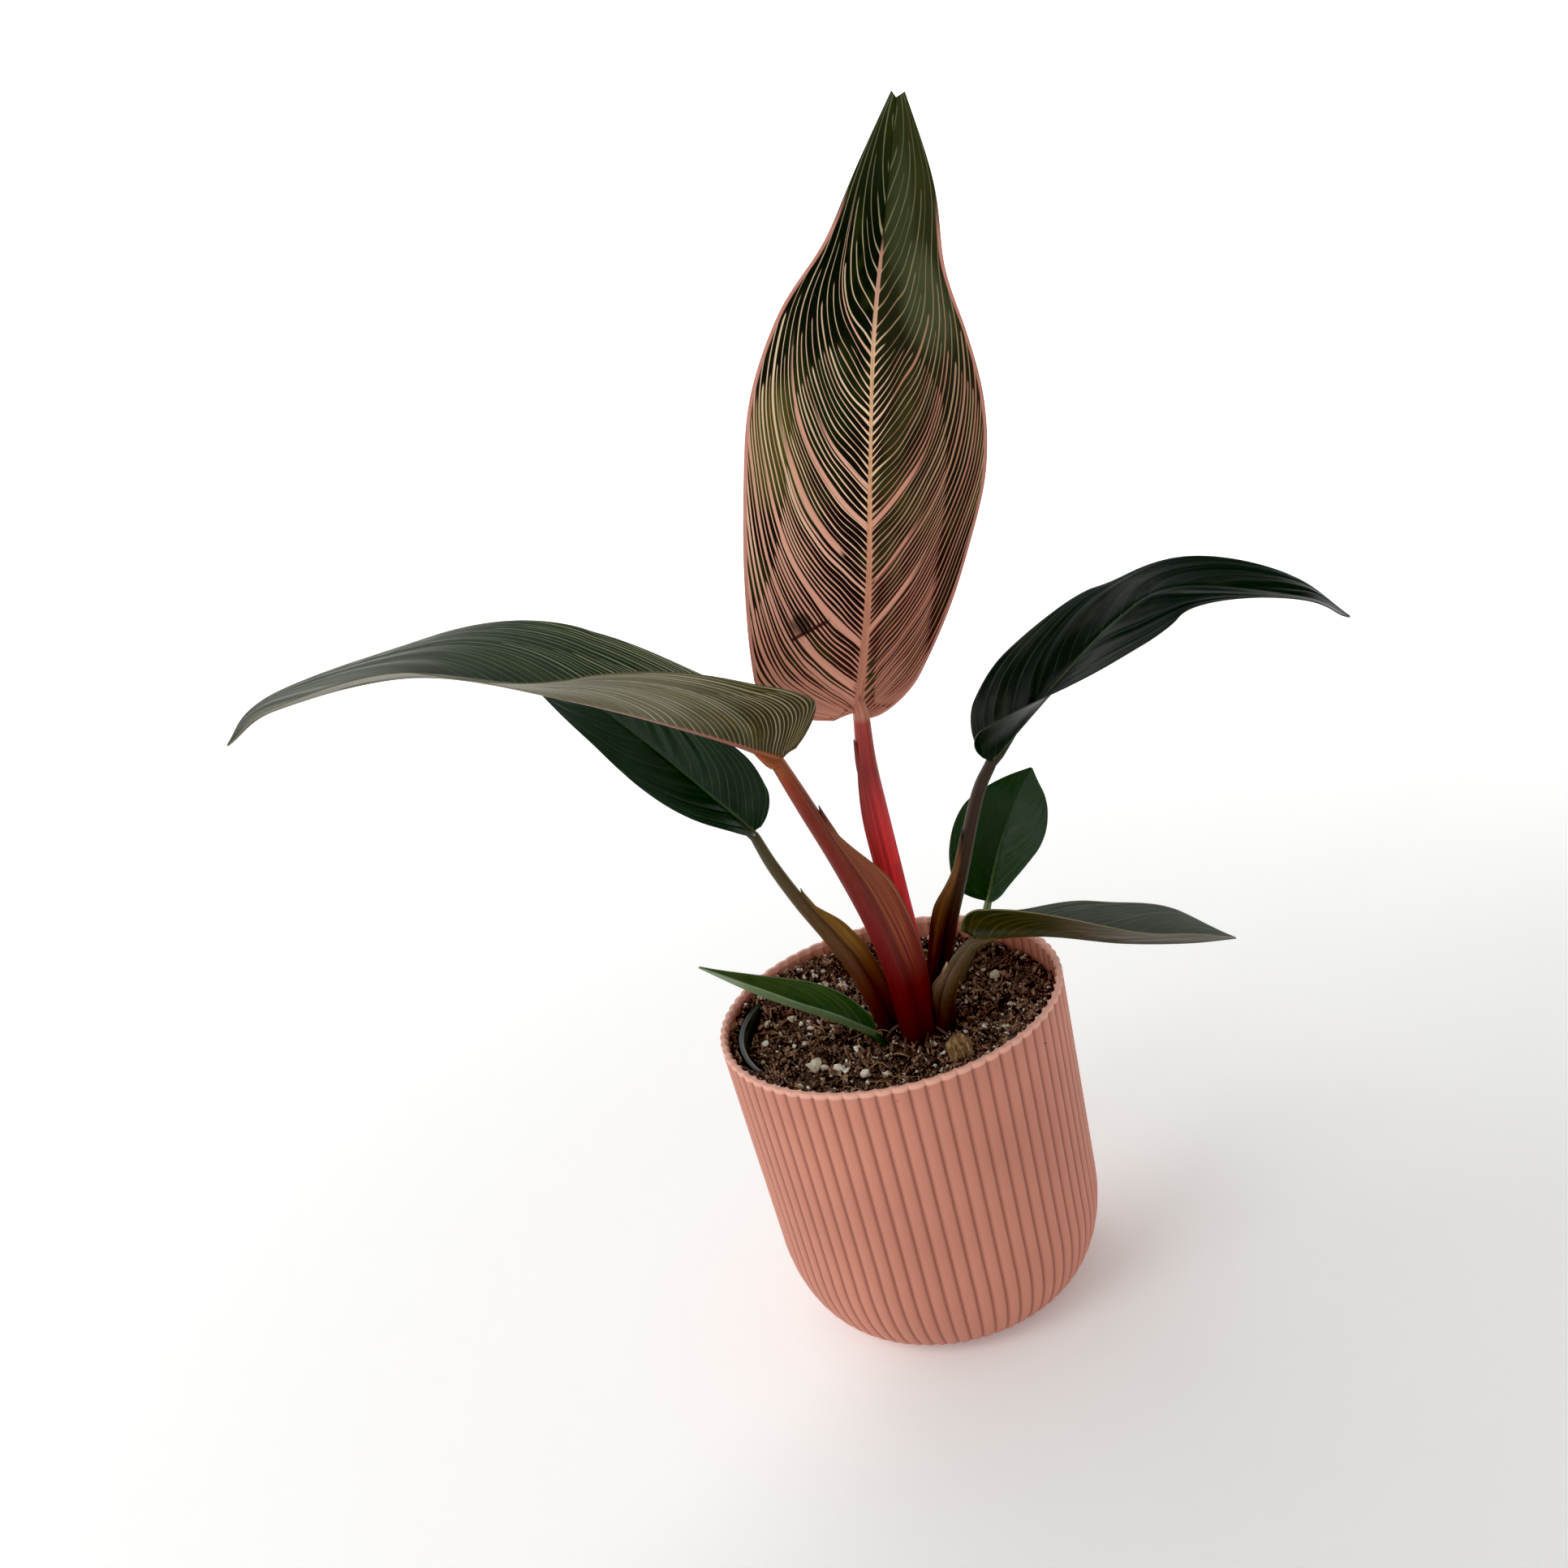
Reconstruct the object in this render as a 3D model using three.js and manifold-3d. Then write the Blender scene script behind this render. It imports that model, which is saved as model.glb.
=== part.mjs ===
// Potted variegated philodendron: seven leaves on their stalks in a nursery pot of soil, which
// stands slightly askew inside a fluted cover pot. Millimetres, +Z up, +X to the viewer's right,
// -Y toward the viewer. The origin is the centre of the cover pot's foot, on the surface below it.
import * as THREE from 'three';
import { mergeVertices } from 'three/addons/utils/BufferGeometryUtils.js';
import Module from 'manifold-3d';

const wasm = await Module();
wasm.setup();

// Driving dimensions
const GAP = 0.3;

const POT_RADIUS = 71;
const POT_HEIGHT = 134;
const POT_FOOT_RADIUS = 46;
const POT_BELLY_RADIUS = 68;
const POT_BELLY_HEIGHT = 42;
const POT_WALL = 2;
const POT_FLOOR = 2.5;
const POT_RIBS = 70;
const POT_RIB_DEPTH = 1.1;

const NURSERY_RIM_RADIUS = 60;
const NURSERY_BASE_RADIUS = 42;
const NURSERY_HEIGHT = 121;
const NURSERY_WALL = 1;
const NURSERY_LIP = 1.4;
const NURSERY_LIP_HEIGHT = 6;
const NURSERY_SIDES = 48;
const NURSERY_TILT = 4;
const NURSERY_SHIFT = -11.2;
const NURSERY_DRAIN_RADIUS = 4;
const NURSERY_DRAIN_CIRCLE = 28;
const NURSERY_DRAINS = 4;

const SOIL_TOP = 121.5;
const SOIL_RELIEF = 0.9;
const SOIL_SIDES = 48;

const STEM_PLACE = [9, -8];
const STEM_RADIUS = 8;
const STEM_TOP = 134;
const STEM_BOTTOM = 96;
const STEM_SIDES = 16;
const ROOT_RADII = [1.5, 1, 0.7];

const CHIP_THICKNESS = 1.4;
const CHIP_PLACE = [20, -34.5, 124.4];
const CHIP_TILT = 38;
const CHIP_TURN = 14;

const BLADE_THICKNESS = 0.8;
const BASE_ROUNDING = 0.07;
const BASE_WIDTH = 0.25;
const MARGIN_WAVES = 3;
const NOTCH_SHARPNESS = 80;
const STALK_SIDES = 12;
const EAR_RISE = 0.7;
const EAR_STEP = 0.015;

// Values at even steps from base to tip, joined by a smooth curve; t runs from 0 to 1
function along(values, t) {
  const last = values.length - 1;
  const place = Math.min(Math.max(t, 0), 1) * last;
  const i = Math.min(Math.floor(place), last - 1);
  const f = place - i;
  const blend = (before, start, end, after) => 0.5 * (2 * start + (end - before) * f
    + (2 * before - 5 * start + 4 * end - after) * f * f
    + (3 * start - before - 3 * end + after) * f ** 3);
  const pick = (k, index) => {
    if (index < 0) return 2 * k(0) - k(1);
    if (index > last) return 2 * k(last) - k(last - 1);
    return k(index);
  };
  const at = (k) => blend(pick(k, i - 1), k(i), k(i + 1), pick(k, i + 2));
  if (Array.isArray(values[0])) {
    return new THREE.Vector3(
      at((j) => values[j][0]), at((j) => values[j][1]), at((j) => values[j][2]));
  }
  return at((j) => values[j]);
}

function directionAlong(spine, t) {
  const step = 0.001;
  const ahead = along(spine, Math.min(t + step, 1));
  const behind = along(spine, Math.max(t - step, 0));
  return ahead.sub(behind).normalize();
}

// The part of a vector that stands square to a unit direction, made one unit long
function squareTo(vector, direction) {
  return vector.clone().addScaledVector(direction, -vector.dot(direction)).normalize();
}

function closedGeometry(points, triangles) {
  const geometry = new THREE.BufferGeometry();
  geometry.setAttribute('position', new THREE.Float32BufferAttribute(points.flat(), 3));
  geometry.setIndex(triangles);
  return geometry;
}

// Boolean cuts and joins
function toManifold(geometry) {
  const bare = geometry.clone();
  bare.deleteAttribute('normal');
  bare.deleteAttribute('uv');
  const merged = mergeVertices(bare, 1e-4);
  return new wasm.Manifold(new wasm.Mesh({
    numProp: 3,
    vertProperties: new Float32Array(merged.attributes.position.array),
    triVerts: new Uint32Array(merged.index.array),
  }));
}

function fromManifold(body) {
  const mesh = body.getMesh();
  const geometry = new THREE.BufferGeometry();
  geometry.setAttribute('position', new THREE.BufferAttribute(mesh.vertProperties, 3));
  geometry.setIndex(new THREE.BufferAttribute(mesh.triVerts, 1));
  return geometry;
}

function cut(geometry, tools) {
  return fromManifold(tools.reduce((body, tool) => body.subtract(toManifold(tool)),
    toManifold(geometry)));
}

function join(geometries) {
  return fromManifold(geometries.map(toManifold).reduce((a, b) => a.add(b)));
}

// Rings of equal length joined into one skin, with a fan over each end
function skin(rings, startPoint, endPoint) {
  const points = rings.flat().map((p) => [p.x, p.y, p.z]);
  const sides = rings[0].length;
  const triangles = [];
  for (let i = 0; i + 1 < rings.length; i += 1) {
    for (let j = 0; j < sides; j += 1) {
      const a = i * sides + j;
      const b = i * sides + (j + 1) % sides;
      triangles.push(a, b, b + sides, a, b + sides, a + sides);
    }
  }
  const start = points.push(startPoint.toArray()) - 1;
  const end = points.push(endPoint.toArray()) - 1;
  const top = (rings.length - 1) * sides;
  for (let j = 0; j < sides; j += 1) {
    const next = (j + 1) % sides;
    triangles.push(start, next, j, end, top + j, top + next);
  }
  return closedGeometry(points, triangles);
}

function middle(ring) {
  return ring.reduce((sum, p) => sum.add(p), new THREE.Vector3()).divideScalar(ring.length);
}

// Leaves: each stalk runs from the crown to the blade, and its blade from the stalk to the tip.
// Stalk: spine, half width across and half depth, the way the sheath faces, its height from base
// to ear and the place of its ear. Blade: midrib, half widths of the left and right halves, the
// way the upper face looks, how far each half folds and curls up toward that face (degrees), how
// far the base lobes reach back, the height of the margin's waves and the depth of the tip's notch.
const LEAVES = [
  {
    name: 'centre',
    stalkColour: 0x9c1f28,
    bladeColour: 0xb07a62,
    stalk: {
      spine: [[8, 0, 112], [10.5, 0, 124], [13.2, -1, 150], [13.4, 0, 180], [13.4, 1, 212],
        [13.8, 3, 234], [16, 4, 253.5]],
      wide: [4.4, 4.8, 4.9, 4.7, 4.4, 4.1, 3.7],
      deep: [4, 4.4, 4.5, 4.2, 4, 3.7, 3],
      sheathSide: [-0.9, -0.4, 0],
      sheath: [1, 2, 3.4, 4.4],
      ear: 0.9,
    },
    rows: 24,
    columns: 6,
    spine: [[15, 4, 254.5], [29, 5, 298], [40, 4, 344], [52, 8, 389], [65, 18, 424], [82, 35, 468]],
    left: [41, 46.8, 48.7, 47.5, 44.6, 35.2, 22.5, 13, 2],
    right: [20, 31.5, 40.5, 45.5, 43.6, 34.9, 23.6, 16.6, 3],
    face: [[0.2, -1, 0], [0.05, -1, 0.05], [0, -1, 0.25]],
    foldLeft: [10, 8, 0, 3],
    foldRight: [-12, -3, -2, 5],
    curlLeft: [0, -8, -6, 0],
    curlRight: [-6, -10, -7, 0],
    lobe: 3,
    wave: 0.8,
    notch: 2.4,
  },
  {
    name: 'upper_left',
    stalkColour: 0x7d2f20,
    bladeColour: 0x4d5040,
    stalk: {
      spine: [[7, -16, 110], [6, -17, 127], [5, -18, 152], [1, -20, 178], [-6, -21, 206],
        [-14.3, -23, 234], [-20, -24.2, 253.2]],
      wide: [6.2, 6.4, 6, 5, 4.4, 4, 3.6],
      deep: [5, 5.2, 4.8, 4.2, 3.8, 3.4, 2.8],
      sheathSide: [0.9, -0.1, 0.4],
      sheath: [1.5, 4.2, 8.6, 9.6, 5.5],
      ear: 0.79,
    },
    rows: 22,
    columns: 5,
    spine: [[-19, -24, 254], [-39, -31, 271], [-82, -36, 298], [-134, -33, 320.6], [-184, -36, 322.6],
      [-204, -40, 315]],
    left: [29, 31, 31, 26, 20.5, 12, 0.6],
    right: [24, 27, 30.5, 30.4, 23.8, 13.5, 0.8],
    face: [[0.29, 0.1, 0.95], [-0.45, -0.18, 0.88], [0, -0.1, 1]],
    foldLeft: [53, 50, 27, 18],
    foldRight: [38, 37, 5, 13],
    curlLeft: [8, 0, 0, 0],
    curlRight: [-12, -14, -15, 0],
    lobe: 3,
    wave: 0.5,
  },
  {
    name: 'lower_left',
    stalkColour: 0x6b4a28,
    bladeColour: 0x1f331c,
    stalk: {
      spine: [[-3, -2, 110], [-4, -1, 127], [-10, 1, 151], [-17, 4, 166], [-25, 6, 182], [-32, 9, 199],
        [-36, 12, 212]],
      wide: [3.8, 4.3, 4.2, 3.6, 2.9, 2.6, 2.3],
      deep: [3.6, 3.8, 3.8, 3.3, 2.8, 2.5, 2.1],
      sheathSide: [0.8, 0, 0.6],
      sheath: [1.5, 4.2, 5, 3.4],
      ear: 0.69,
    },
    rows: 14,
    columns: 4,
    spine: [[-36, 12, 214], [-51, 17, 235], [-68, 27, 256], [-87, 38, 276], [-108, 50, 286]],
    left: [13, 18, 17.8, 15, 11, 0.6],
    right: [15.5, 21, 19.5, 17, 10, 0.6],
    face: [[-0.05, -0.15, 1], [-0.25, -0.6, 0.78], [-0.34, -0.43, 0.84]],
    foldLeft: [34, 21, 6],
    foldRight: [23, 19, 8],
    curlLeft: [0, -3, 0],
    curlRight: [0, -4, 0],
    lobe: 1,
    wave: 0.5,
  },
  {
    name: 'right',
    stalkColour: 0x4a2a18,
    bladeColour: 0x17201a,
    stalk: {
      spine: [[17, 8, 110], [20, 7.5, 125], [26, 6, 144], [32.5, 4, 162], [39.5, 2, 178],
        [52.4, 1, 209], [60.6, 0, 222]],
      wide: [3.8, 4.1, 4.2, 3.9, 3.3, 2.8, 2.4],
      deep: [3.6, 3.8, 3.8, 3.6, 3, 2.6, 2.2],
      sheathSide: [-0.9, -0.4, 0.2],
      sheath: [1.2, 4, 7.4, 6],
      ear: 0.75,
    },
    rows: 20,
    columns: 5,
    spine: [[61, 0, 223.5], [87, -4, 245.5], [118, -6, 268], [143, -5, 273.6], [185, -11, 260.5],
      [204.6, -8, 246.3]],
    left: [16.5, 27.5, 26.5, 23.6, 20, 11, 0.6],
    right: [15.5, 18.8, 21.5, 24, 10.5, 8, 0.6],
    face: [[-0.3, -0.45, 0.84], [-0.35, -0.35, 0.87], [-0.1, -0.25, 0.96], [0.33, -0.3, 0.9]],
    foldLeft: [25, 8, -6, 7, 7],
    foldRight: [88, 40, 0, -2, 14, -10],
    curlLeft: [0, 0, 0, 0],
    curlRight: [20, 5, 10, 5],
    lobe: 1,
    wave: 0.5,
  },
  {
    name: 'back_right',
    stalkColour: 0x55603a,
    bladeColour: 0x25361f,
    stalk: {
      spine: [[27, 12, 110], [29, 16, 118], [33, 22, 124], [39, 29, 129], [48, 37, 137], [51.5, 39, 144]],
      wide: [2.6, 2.6, 2.4, 2.2, 1.9, 1.7],
      deep: [2.4, 2.4, 2.2, 2, 1.8, 1.6],
      sheathSide: [-0.6, -0.6, 0.5],
      sheath: [0.6, 1.2, 1],
      ear: 0.6,
    },
    rows: 13,
    columns: 4,
    spine: [[52, 39, 146], [63, 47, 166], [75, 52, 184], [85, 61, 191.5]],
    left: [14.5, 20.6, 20, 9, 0.6],
    right: [8, 16.6, 18.2, 11.4, 0.6],
    face: [[-0.4, -0.8, 0.43], [-0.1, -0.86, 0.5], [0.14, -0.77, 0.62]],
    foldLeft: [15, 11, 8],
    foldRight: [45, 23, 5],
    curlLeft: [0, -5, 0],
    curlRight: [0, -3, 0],
    lobe: 0,
    wave: 0.4,
  },
  {
    name: 'lower_right',
    stalkColour: 0x5c4530,
    bladeColour: 0x39402a,
    stalk: {
      spine: [[17, -12, 108], [19, -15, 122], [22, -18, 138], [28, -21, 151], [36, -23, 160]],
      wide: [4.6, 4.8, 4.4, 3.6, 2.8],
      deep: [4, 4.2, 3.8, 3.2, 2.4],
      sheathSide: [-0.8, 0.1, 0.6],
      sheath: [1.5, 3, 3.4],
      ear: 0.74,
    },
    rows: 16,
    columns: 4,
    spine: [[38, -23, 162.5], [63, -28, 159], [91, -31, 149], [116, -32, 142], [136, -30, 137]],
    left: [12.5, 10.6, 15.2, 15.9, 12.6, 0.6],
    right: [15.5, 17, 16, 16, 9.5, 0.6],
    face: [[0.18, 0.1, 0.97], [0.1, -0.24, 0.96], [0.26, -0.1, 0.96]],
    foldLeft: [33, 36, 14],
    foldRight: [62, 53, 48],
    curlLeft: [0, -4, 0],
    curlRight: [0, 0, 0],
    lobe: 6,
    wave: 0.4,
  },
  {
    name: 'front_left',
    stalkColour: 0x3c5a26,
    bladeColour: 0x2c5a24,
    stalk: {
      spine: [[0, -12, 109], [-4, -15, 118], [-8.6, -16, 126.5]],
      wide: [1.8, 1.8, 1.5],
      deep: [1.7, 1.7, 1.3],
      sheathSide: [0.7, 0, 0.7],
      sheath: [0, 0],
      ear: 0.6,
    },
    rows: 12,
    columns: 3,
    spine: [[-9.5, -16, 128], [-27, -17, 142], [-49, -15, 157], [-70, -12, 174]],
    left: [6, 9.3, 9.6, 8, 0.6],
    right: [6, 11.5, 11.5, 7, 0.6],
    face: [[0.4, -0.46, 0.79], [0.43, -0.41, 0.8], [0.48, -0.25, 0.84]],
    foldLeft: [63, 61, 54],
    foldRight: [21, 20, 8],
    curlLeft: [0, 0, 0],
    curlRight: [0, 0, 0],
    lobe: 0,
    wave: 0.2,
  },
];

// A point of a blade: t runs from base to tip, v from the midrib (0) to a margin (1 or -1)
function bladePoint(leaf, t, v) {
  const out = Math.abs(v);
  const rightHalf = v >= 0;
  const tangent = directionAlong(leaf.spine, t);
  const normal = squareTo(along(leaf.face, t), tangent);
  const sideways = tangent.clone().cross(normal).multiplyScalar(rightHalf ? 1 : -1);
  const rounding = 1 - Math.min(t / BASE_ROUNDING, 1);
  const width = along(rightHalf ? leaf.right : leaf.left, t)
    * (BASE_WIDTH + (1 - BASE_WIDTH) * Math.sqrt(1 - rounding ** 2));
  const fold = THREE.MathUtils.degToRad(along(rightHalf ? leaf.foldRight : leaf.foldLeft, t));
  const curl = THREE.MathUtils.degToRad(along(rightHalf ? leaf.curlRight : leaf.curlLeft, t)) || 1e-4;
  const across = width * (Math.sin(fold + curl * out) - Math.sin(fold)) / curl;
  const lift = width * (Math.cos(fold) - Math.cos(fold + curl * out)) / curl;
  const phase = MARGIN_WAVES * t + (rightHalf ? 0 : 0.3);
  const wave = leaf.wave * out ** 3 * Math.sin(2 * Math.PI * phase) * Math.sin(Math.PI * t);
  const back = leaf.lobe * out ** 1.5 * (1 - t) ** 6
    + (leaf.notch ?? 0) * (1 - out) * t ** NOTCH_SHARPNESS;
  return along(leaf.spine, t)
    .addScaledVector(sideways, across)
    .addScaledVector(normal, lift + wave)
    .addScaledVector(tangent, -back);
}

function bladeGeometry(leaf) {
  const rows = leaf.rows + 1;
  const columns = 2 * leaf.columns + 1;
  const place = (i, j) => bladePoint(leaf, (i / leaf.rows) ** 1.3, (j - leaf.columns) / leaf.columns);
  const grid = Array.from({ length: rows }, (_, i) =>
    Array.from({ length: columns }, (_, j) => place(i, j)));
  const normalAt = (i, j) => {
    const ahead = grid[Math.min(i + 1, rows - 1)][j].clone().sub(grid[Math.max(i - 1, 0)][j]);
    const before = grid[i][Math.max(j - 1, 0)];
    const after = grid[i][Math.min(j + 1, columns - 1)];
    return after.clone().sub(before).cross(ahead).normalize();
  };
  const points = [];
  for (const side of [0.5, -0.5]) {
    for (let i = 0; i < rows; i += 1) {
      for (let j = 0; j < columns; j += 1) {
        points.push(grid[i][j].clone()
          .addScaledVector(normalAt(i, j), side * BLADE_THICKNESS).toArray());
      }
    }
  }
  const under = rows * columns;
  const triangles = [];
  for (let i = 0; i + 1 < rows; i += 1) {
    for (let j = 0; j + 1 < columns; j += 1) {
      const a = i * columns + j;
      const b = a + 1;
      const c = a + columns;
      const d = c + 1;
      triangles.push(a, b, d, a, d, c);
      triangles.push(under + a, under + d, under + b, under + a, under + c, under + d);
    }
  }
  const rim = [];
  for (let j = 0; j + 1 < columns; j += 1) rim.push(j);
  for (let i = 0; i + 1 < rows; i += 1) rim.push(i * columns + columns - 1);
  for (let j = columns - 1; j > 0; j -= 1) rim.push((rows - 1) * columns + j);
  for (let i = rows - 1; i > 0; i -= 1) rim.push(i * columns);
  rim.forEach((a, k) => {
    const b = rim[(k + 1) % rim.length];
    triangles.push(a, under + a, under + b, a, under + b, b);
  });
  return closedGeometry(points, triangles);
}

// A stalk: an oval section with the sheath as a ridge on one side up to its ear. The same stalk
// made a little larger is the tool that cuts its hole.
function stalkGeometry(stalk, larger = 0) {
  const facing = new THREE.Vector3(...stalk.sheathSide);
  const steps = [];
  const count = 2 * (stalk.spine.length - 1);
  for (let i = 0; i <= count; i += 1) steps.push(i / count);
  const below = steps.filter((t) => t < stalk.ear - 2 * EAR_STEP);
  const above = steps.filter((t) => t > stalk.ear + 3 * EAR_STEP);
  const rings = [
    ...below.map((t) => [t, along(stalk.sheath, t / stalk.ear), 0]),
    [stalk.ear, stalk.sheath.at(-1), EAR_RISE],
    [stalk.ear + EAR_STEP, 0, 0],
    ...above.map((t) => [t, 0, 0]),
  ].map(([t, sheath, rise]) => {
    const tangent = directionAlong(stalk.spine, t);
    const front = squareTo(facing, tangent);
    const sideways = tangent.clone().cross(front);
    const beyond = larger * (Math.floor(t) - (t > 0 ? 0 : 1));
    const centre = along(stalk.spine, t).addScaledVector(tangent, beyond);
    return Array.from({ length: STALK_SIDES }, (_, k) => {
      const angle = 2 * Math.PI * k / STALK_SIDES;
      const ridge = Math.max(Math.cos(angle), 0) ** 6;
      const deep = along(stalk.deep, t) + larger + sheath * ridge;
      return centre.clone()
        .addScaledVector(front, Math.cos(angle) * deep)
        .addScaledVector(sideways, Math.sin(angle) * (along(stalk.wide, t) + larger))
        .addScaledVector(tangent, rise * sheath * ridge);
    });
  });
  return skin(rings, middle(rings[0]), middle(rings.at(-1)));
}

// Cover pot: a flat foot, a round belly and a nearly straight wall, pleated all round into ribs
// of even thickness, with a plain rim
function potRadius(z) {
  if (z < POT_BELLY_HEIGHT) {
    const drop = (POT_BELLY_HEIGHT - z) / POT_BELLY_HEIGHT;
    return POT_FOOT_RADIUS + (POT_BELLY_RADIUS - POT_FOOT_RADIUS) * Math.sqrt(1 - drop ** 2);
  }
  const rise = (z - POT_BELLY_HEIGHT) / (POT_HEIGHT - POT_BELLY_HEIGHT);
  return POT_BELLY_RADIUS + (POT_RADIUS - POT_BELLY_RADIUS) * rise;
}

function outerPotGeometry() {
  const sides = 2 * POT_RIBS;
  const ring = (radius, z, depth) => Array.from({ length: sides }, (_, k) => {
    const angle = 2 * Math.PI * k / sides;
    const r = radius - (k % 2) * depth;
    return new THREE.Vector3(r * Math.cos(angle), r * Math.sin(angle), z);
  });
  const outside = [0, 2, 7, 16, 28, POT_BELLY_HEIGHT, POT_HEIGHT];
  const inside = [POT_HEIGHT, POT_BELLY_HEIGHT, 24, 12, 6, POT_FLOOR];
  const rings = [
    ...outside.map((z) => ring(potRadius(z), z, z > 0 ? POT_RIB_DEPTH : 0)),
    ...inside.map((z) => ring(potRadius(z) - POT_WALL, z, z > POT_FLOOR ? POT_RIB_DEPTH : 0)),
  ];
  return skin(rings, new THREE.Vector3(), new THREE.Vector3(0, 0, POT_FLOOR));
}

// Nursery pot: thin tapered wall with a rolled lip and drain holes. It stands a little to the
// left with its left side raised, on the curve of the cover pot's bottom.
const nurseryTurn = THREE.MathUtils.degToRad(NURSERY_TILT);
const nurseryLift = POT_FLOOR + GAP + NURSERY_BASE_RADIUS * Math.sin(nurseryTurn);
const nurseryPlace = new THREE.Matrix4().makeRotationY(nurseryTurn)
  .setPosition(NURSERY_SHIFT, 0, nurseryLift);

function nurseryRadius(height) {
  return NURSERY_BASE_RADIUS + (NURSERY_RIM_RADIUS - NURSERY_BASE_RADIUS) * height / NURSERY_HEIGHT;
}

function nurseryPotGeometry() {
  const lipFoot = NURSERY_HEIGHT - NURSERY_LIP_HEIGHT;
  const neck = lipFoot - 2 * NURSERY_LIP;
  const profile = [
    [0, 0],
    [NURSERY_BASE_RADIUS, 0],
    [nurseryRadius(neck), neck],
    [NURSERY_RIM_RADIUS + NURSERY_LIP, lipFoot],
    [NURSERY_RIM_RADIUS + NURSERY_LIP, NURSERY_HEIGHT],
    [nurseryRadius(NURSERY_HEIGHT) - NURSERY_WALL, NURSERY_HEIGHT],
    [nurseryRadius(neck) - NURSERY_WALL, neck],
    [NURSERY_BASE_RADIUS - NURSERY_WALL, NURSERY_WALL],
    [0, NURSERY_WALL],
  ].map(([x, y]) => new THREE.Vector2(x, y));
  const wall = new THREE.LatheGeometry(profile, NURSERY_SIDES).rotateX(Math.PI / 2);
  const depth = 6 * NURSERY_WALL;
  const drains = Array.from({ length: NURSERY_DRAINS }, (_, k) => {
    const angle = 2 * Math.PI * (k + 0.5) / NURSERY_DRAINS;
    return new THREE.CylinderGeometry(NURSERY_DRAIN_RADIUS, NURSERY_DRAIN_RADIUS, depth, 10)
      .rotateX(Math.PI / 2)
      .translate(NURSERY_DRAIN_CIRCLE * Math.cos(angle), NURSERY_DRAIN_CIRCLE * Math.sin(angle), 0);
  });
  return cut(wall, drains).applyMatrix4(nurseryPlace);
}

// Soil: fills the tilted nursery pot up to a level, slightly uneven top
function soilRelief(x, y) {
  const lumps = Math.sin(x * 0.31 + 1.3) * Math.sin(y * 0.27 + 0.4)
    + 0.6 * Math.sin(x * 0.83 + y * 0.41) + 0.4 * Math.sin(y * 0.97 - x * 0.52 + 2);
  return SOIL_RELIEF * lumps / 1.6;
}

function soilGeometry() {
  const inset = NURSERY_WALL + GAP;
  const bottom = NURSERY_WALL + GAP;
  const slope = (NURSERY_RIM_RADIUS - NURSERY_BASE_RADIUS) / NURSERY_HEIGHT;
  const wallPoint = (angle, height) => {
    const radius = nurseryRadius(height) - inset;
    return new THREE.Vector3(radius * Math.cos(angle), radius * Math.sin(angle), height)
      .applyMatrix4(nurseryPlace);
  };
  const topHeight = (angle) => {
    const lean = Math.cos(angle) * Math.sin(nurseryTurn);
    return (SOIL_TOP - nurseryLift + (NURSERY_BASE_RADIUS - inset) * lean)
      / (Math.cos(nurseryTurn) - slope * lean);
  };
  const angles = Array.from({ length: SOIL_SIDES }, (_, k) => 2 * Math.PI * k / SOIL_SIDES);
  const rings = [0, 0.5, 1].map((part) =>
    angles.map((angle) => wallPoint(angle, bottom + part * (topHeight(angle) - bottom))));
  const centre = middle(rings[2]);
  for (const part of [0.97, 0.88, 0.78, 0.68, 0.58, 0.48, 0.38, 0.28, 0.18, 0.08]) {
    rings.push(rings[2].map((edge) => {
      const p = centre.clone().lerp(edge, part);
      return p.setZ(SOIL_TOP + soilRelief(p.x, p.y));
    }));
  }
  const floor = new THREE.Vector3(0, 0, bottom).applyMatrix4(nurseryPlace);
  return skin(rings, floor, centre.setZ(SOIL_TOP + soilRelief(centre.x, centre.y)));
}

// Stem: the short crown between the stalks, with small aerial roots that dip into the soil
const ROOTS = [
  [[8, -8, 125], [-1, -9, 124.5], [-6, -10, 120]],
  [[10, -8, 127], [20, -5, 125.5], [26, -6, 120]],
];

function rootGeometry(spine, larger = 0) {
  const root = { spine, wide: ROOT_RADII, deep: ROOT_RADII };
  return stalkGeometry({ ...root, sheathSide: [0, 0, 1], sheath: [0, 0], ear: 0.5 }, larger);
}

function stemGeometry() {
  const ring = (radius, z) => Array.from({ length: STEM_SIDES }, (_, k) => {
    const angle = 2 * Math.PI * k / STEM_SIDES;
    return new THREE.Vector3(
      STEM_PLACE[0] + radius * Math.cos(angle), STEM_PLACE[1] + radius * Math.sin(angle), z);
  });
  const rings = [
    ring(STEM_RADIUS * 0.6, STEM_BOTTOM),
    ring(STEM_RADIUS * 0.95, STEM_BOTTOM + 8),
    ring(STEM_RADIUS, SOIL_TOP),
    ring(STEM_RADIUS * 0.75, STEM_TOP - 5),
    ring(STEM_RADIUS * 0.35, STEM_TOP),
  ];
  const crown = skin(rings, middle(rings[0]), middle(rings.at(-1)));
  return join([crown, ...ROOTS.map((spine) => rootGeometry(spine))]);
}

// Bark chip: one dry flake that leans on the soil at the front rim
const CHIP_OUTLINE = [[-5.5, -4.5], [4.5, -5.5], [6, 1.5], [3, 5.5], [-4.5, 3]];
const CHIP_REACH = 5;

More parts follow.
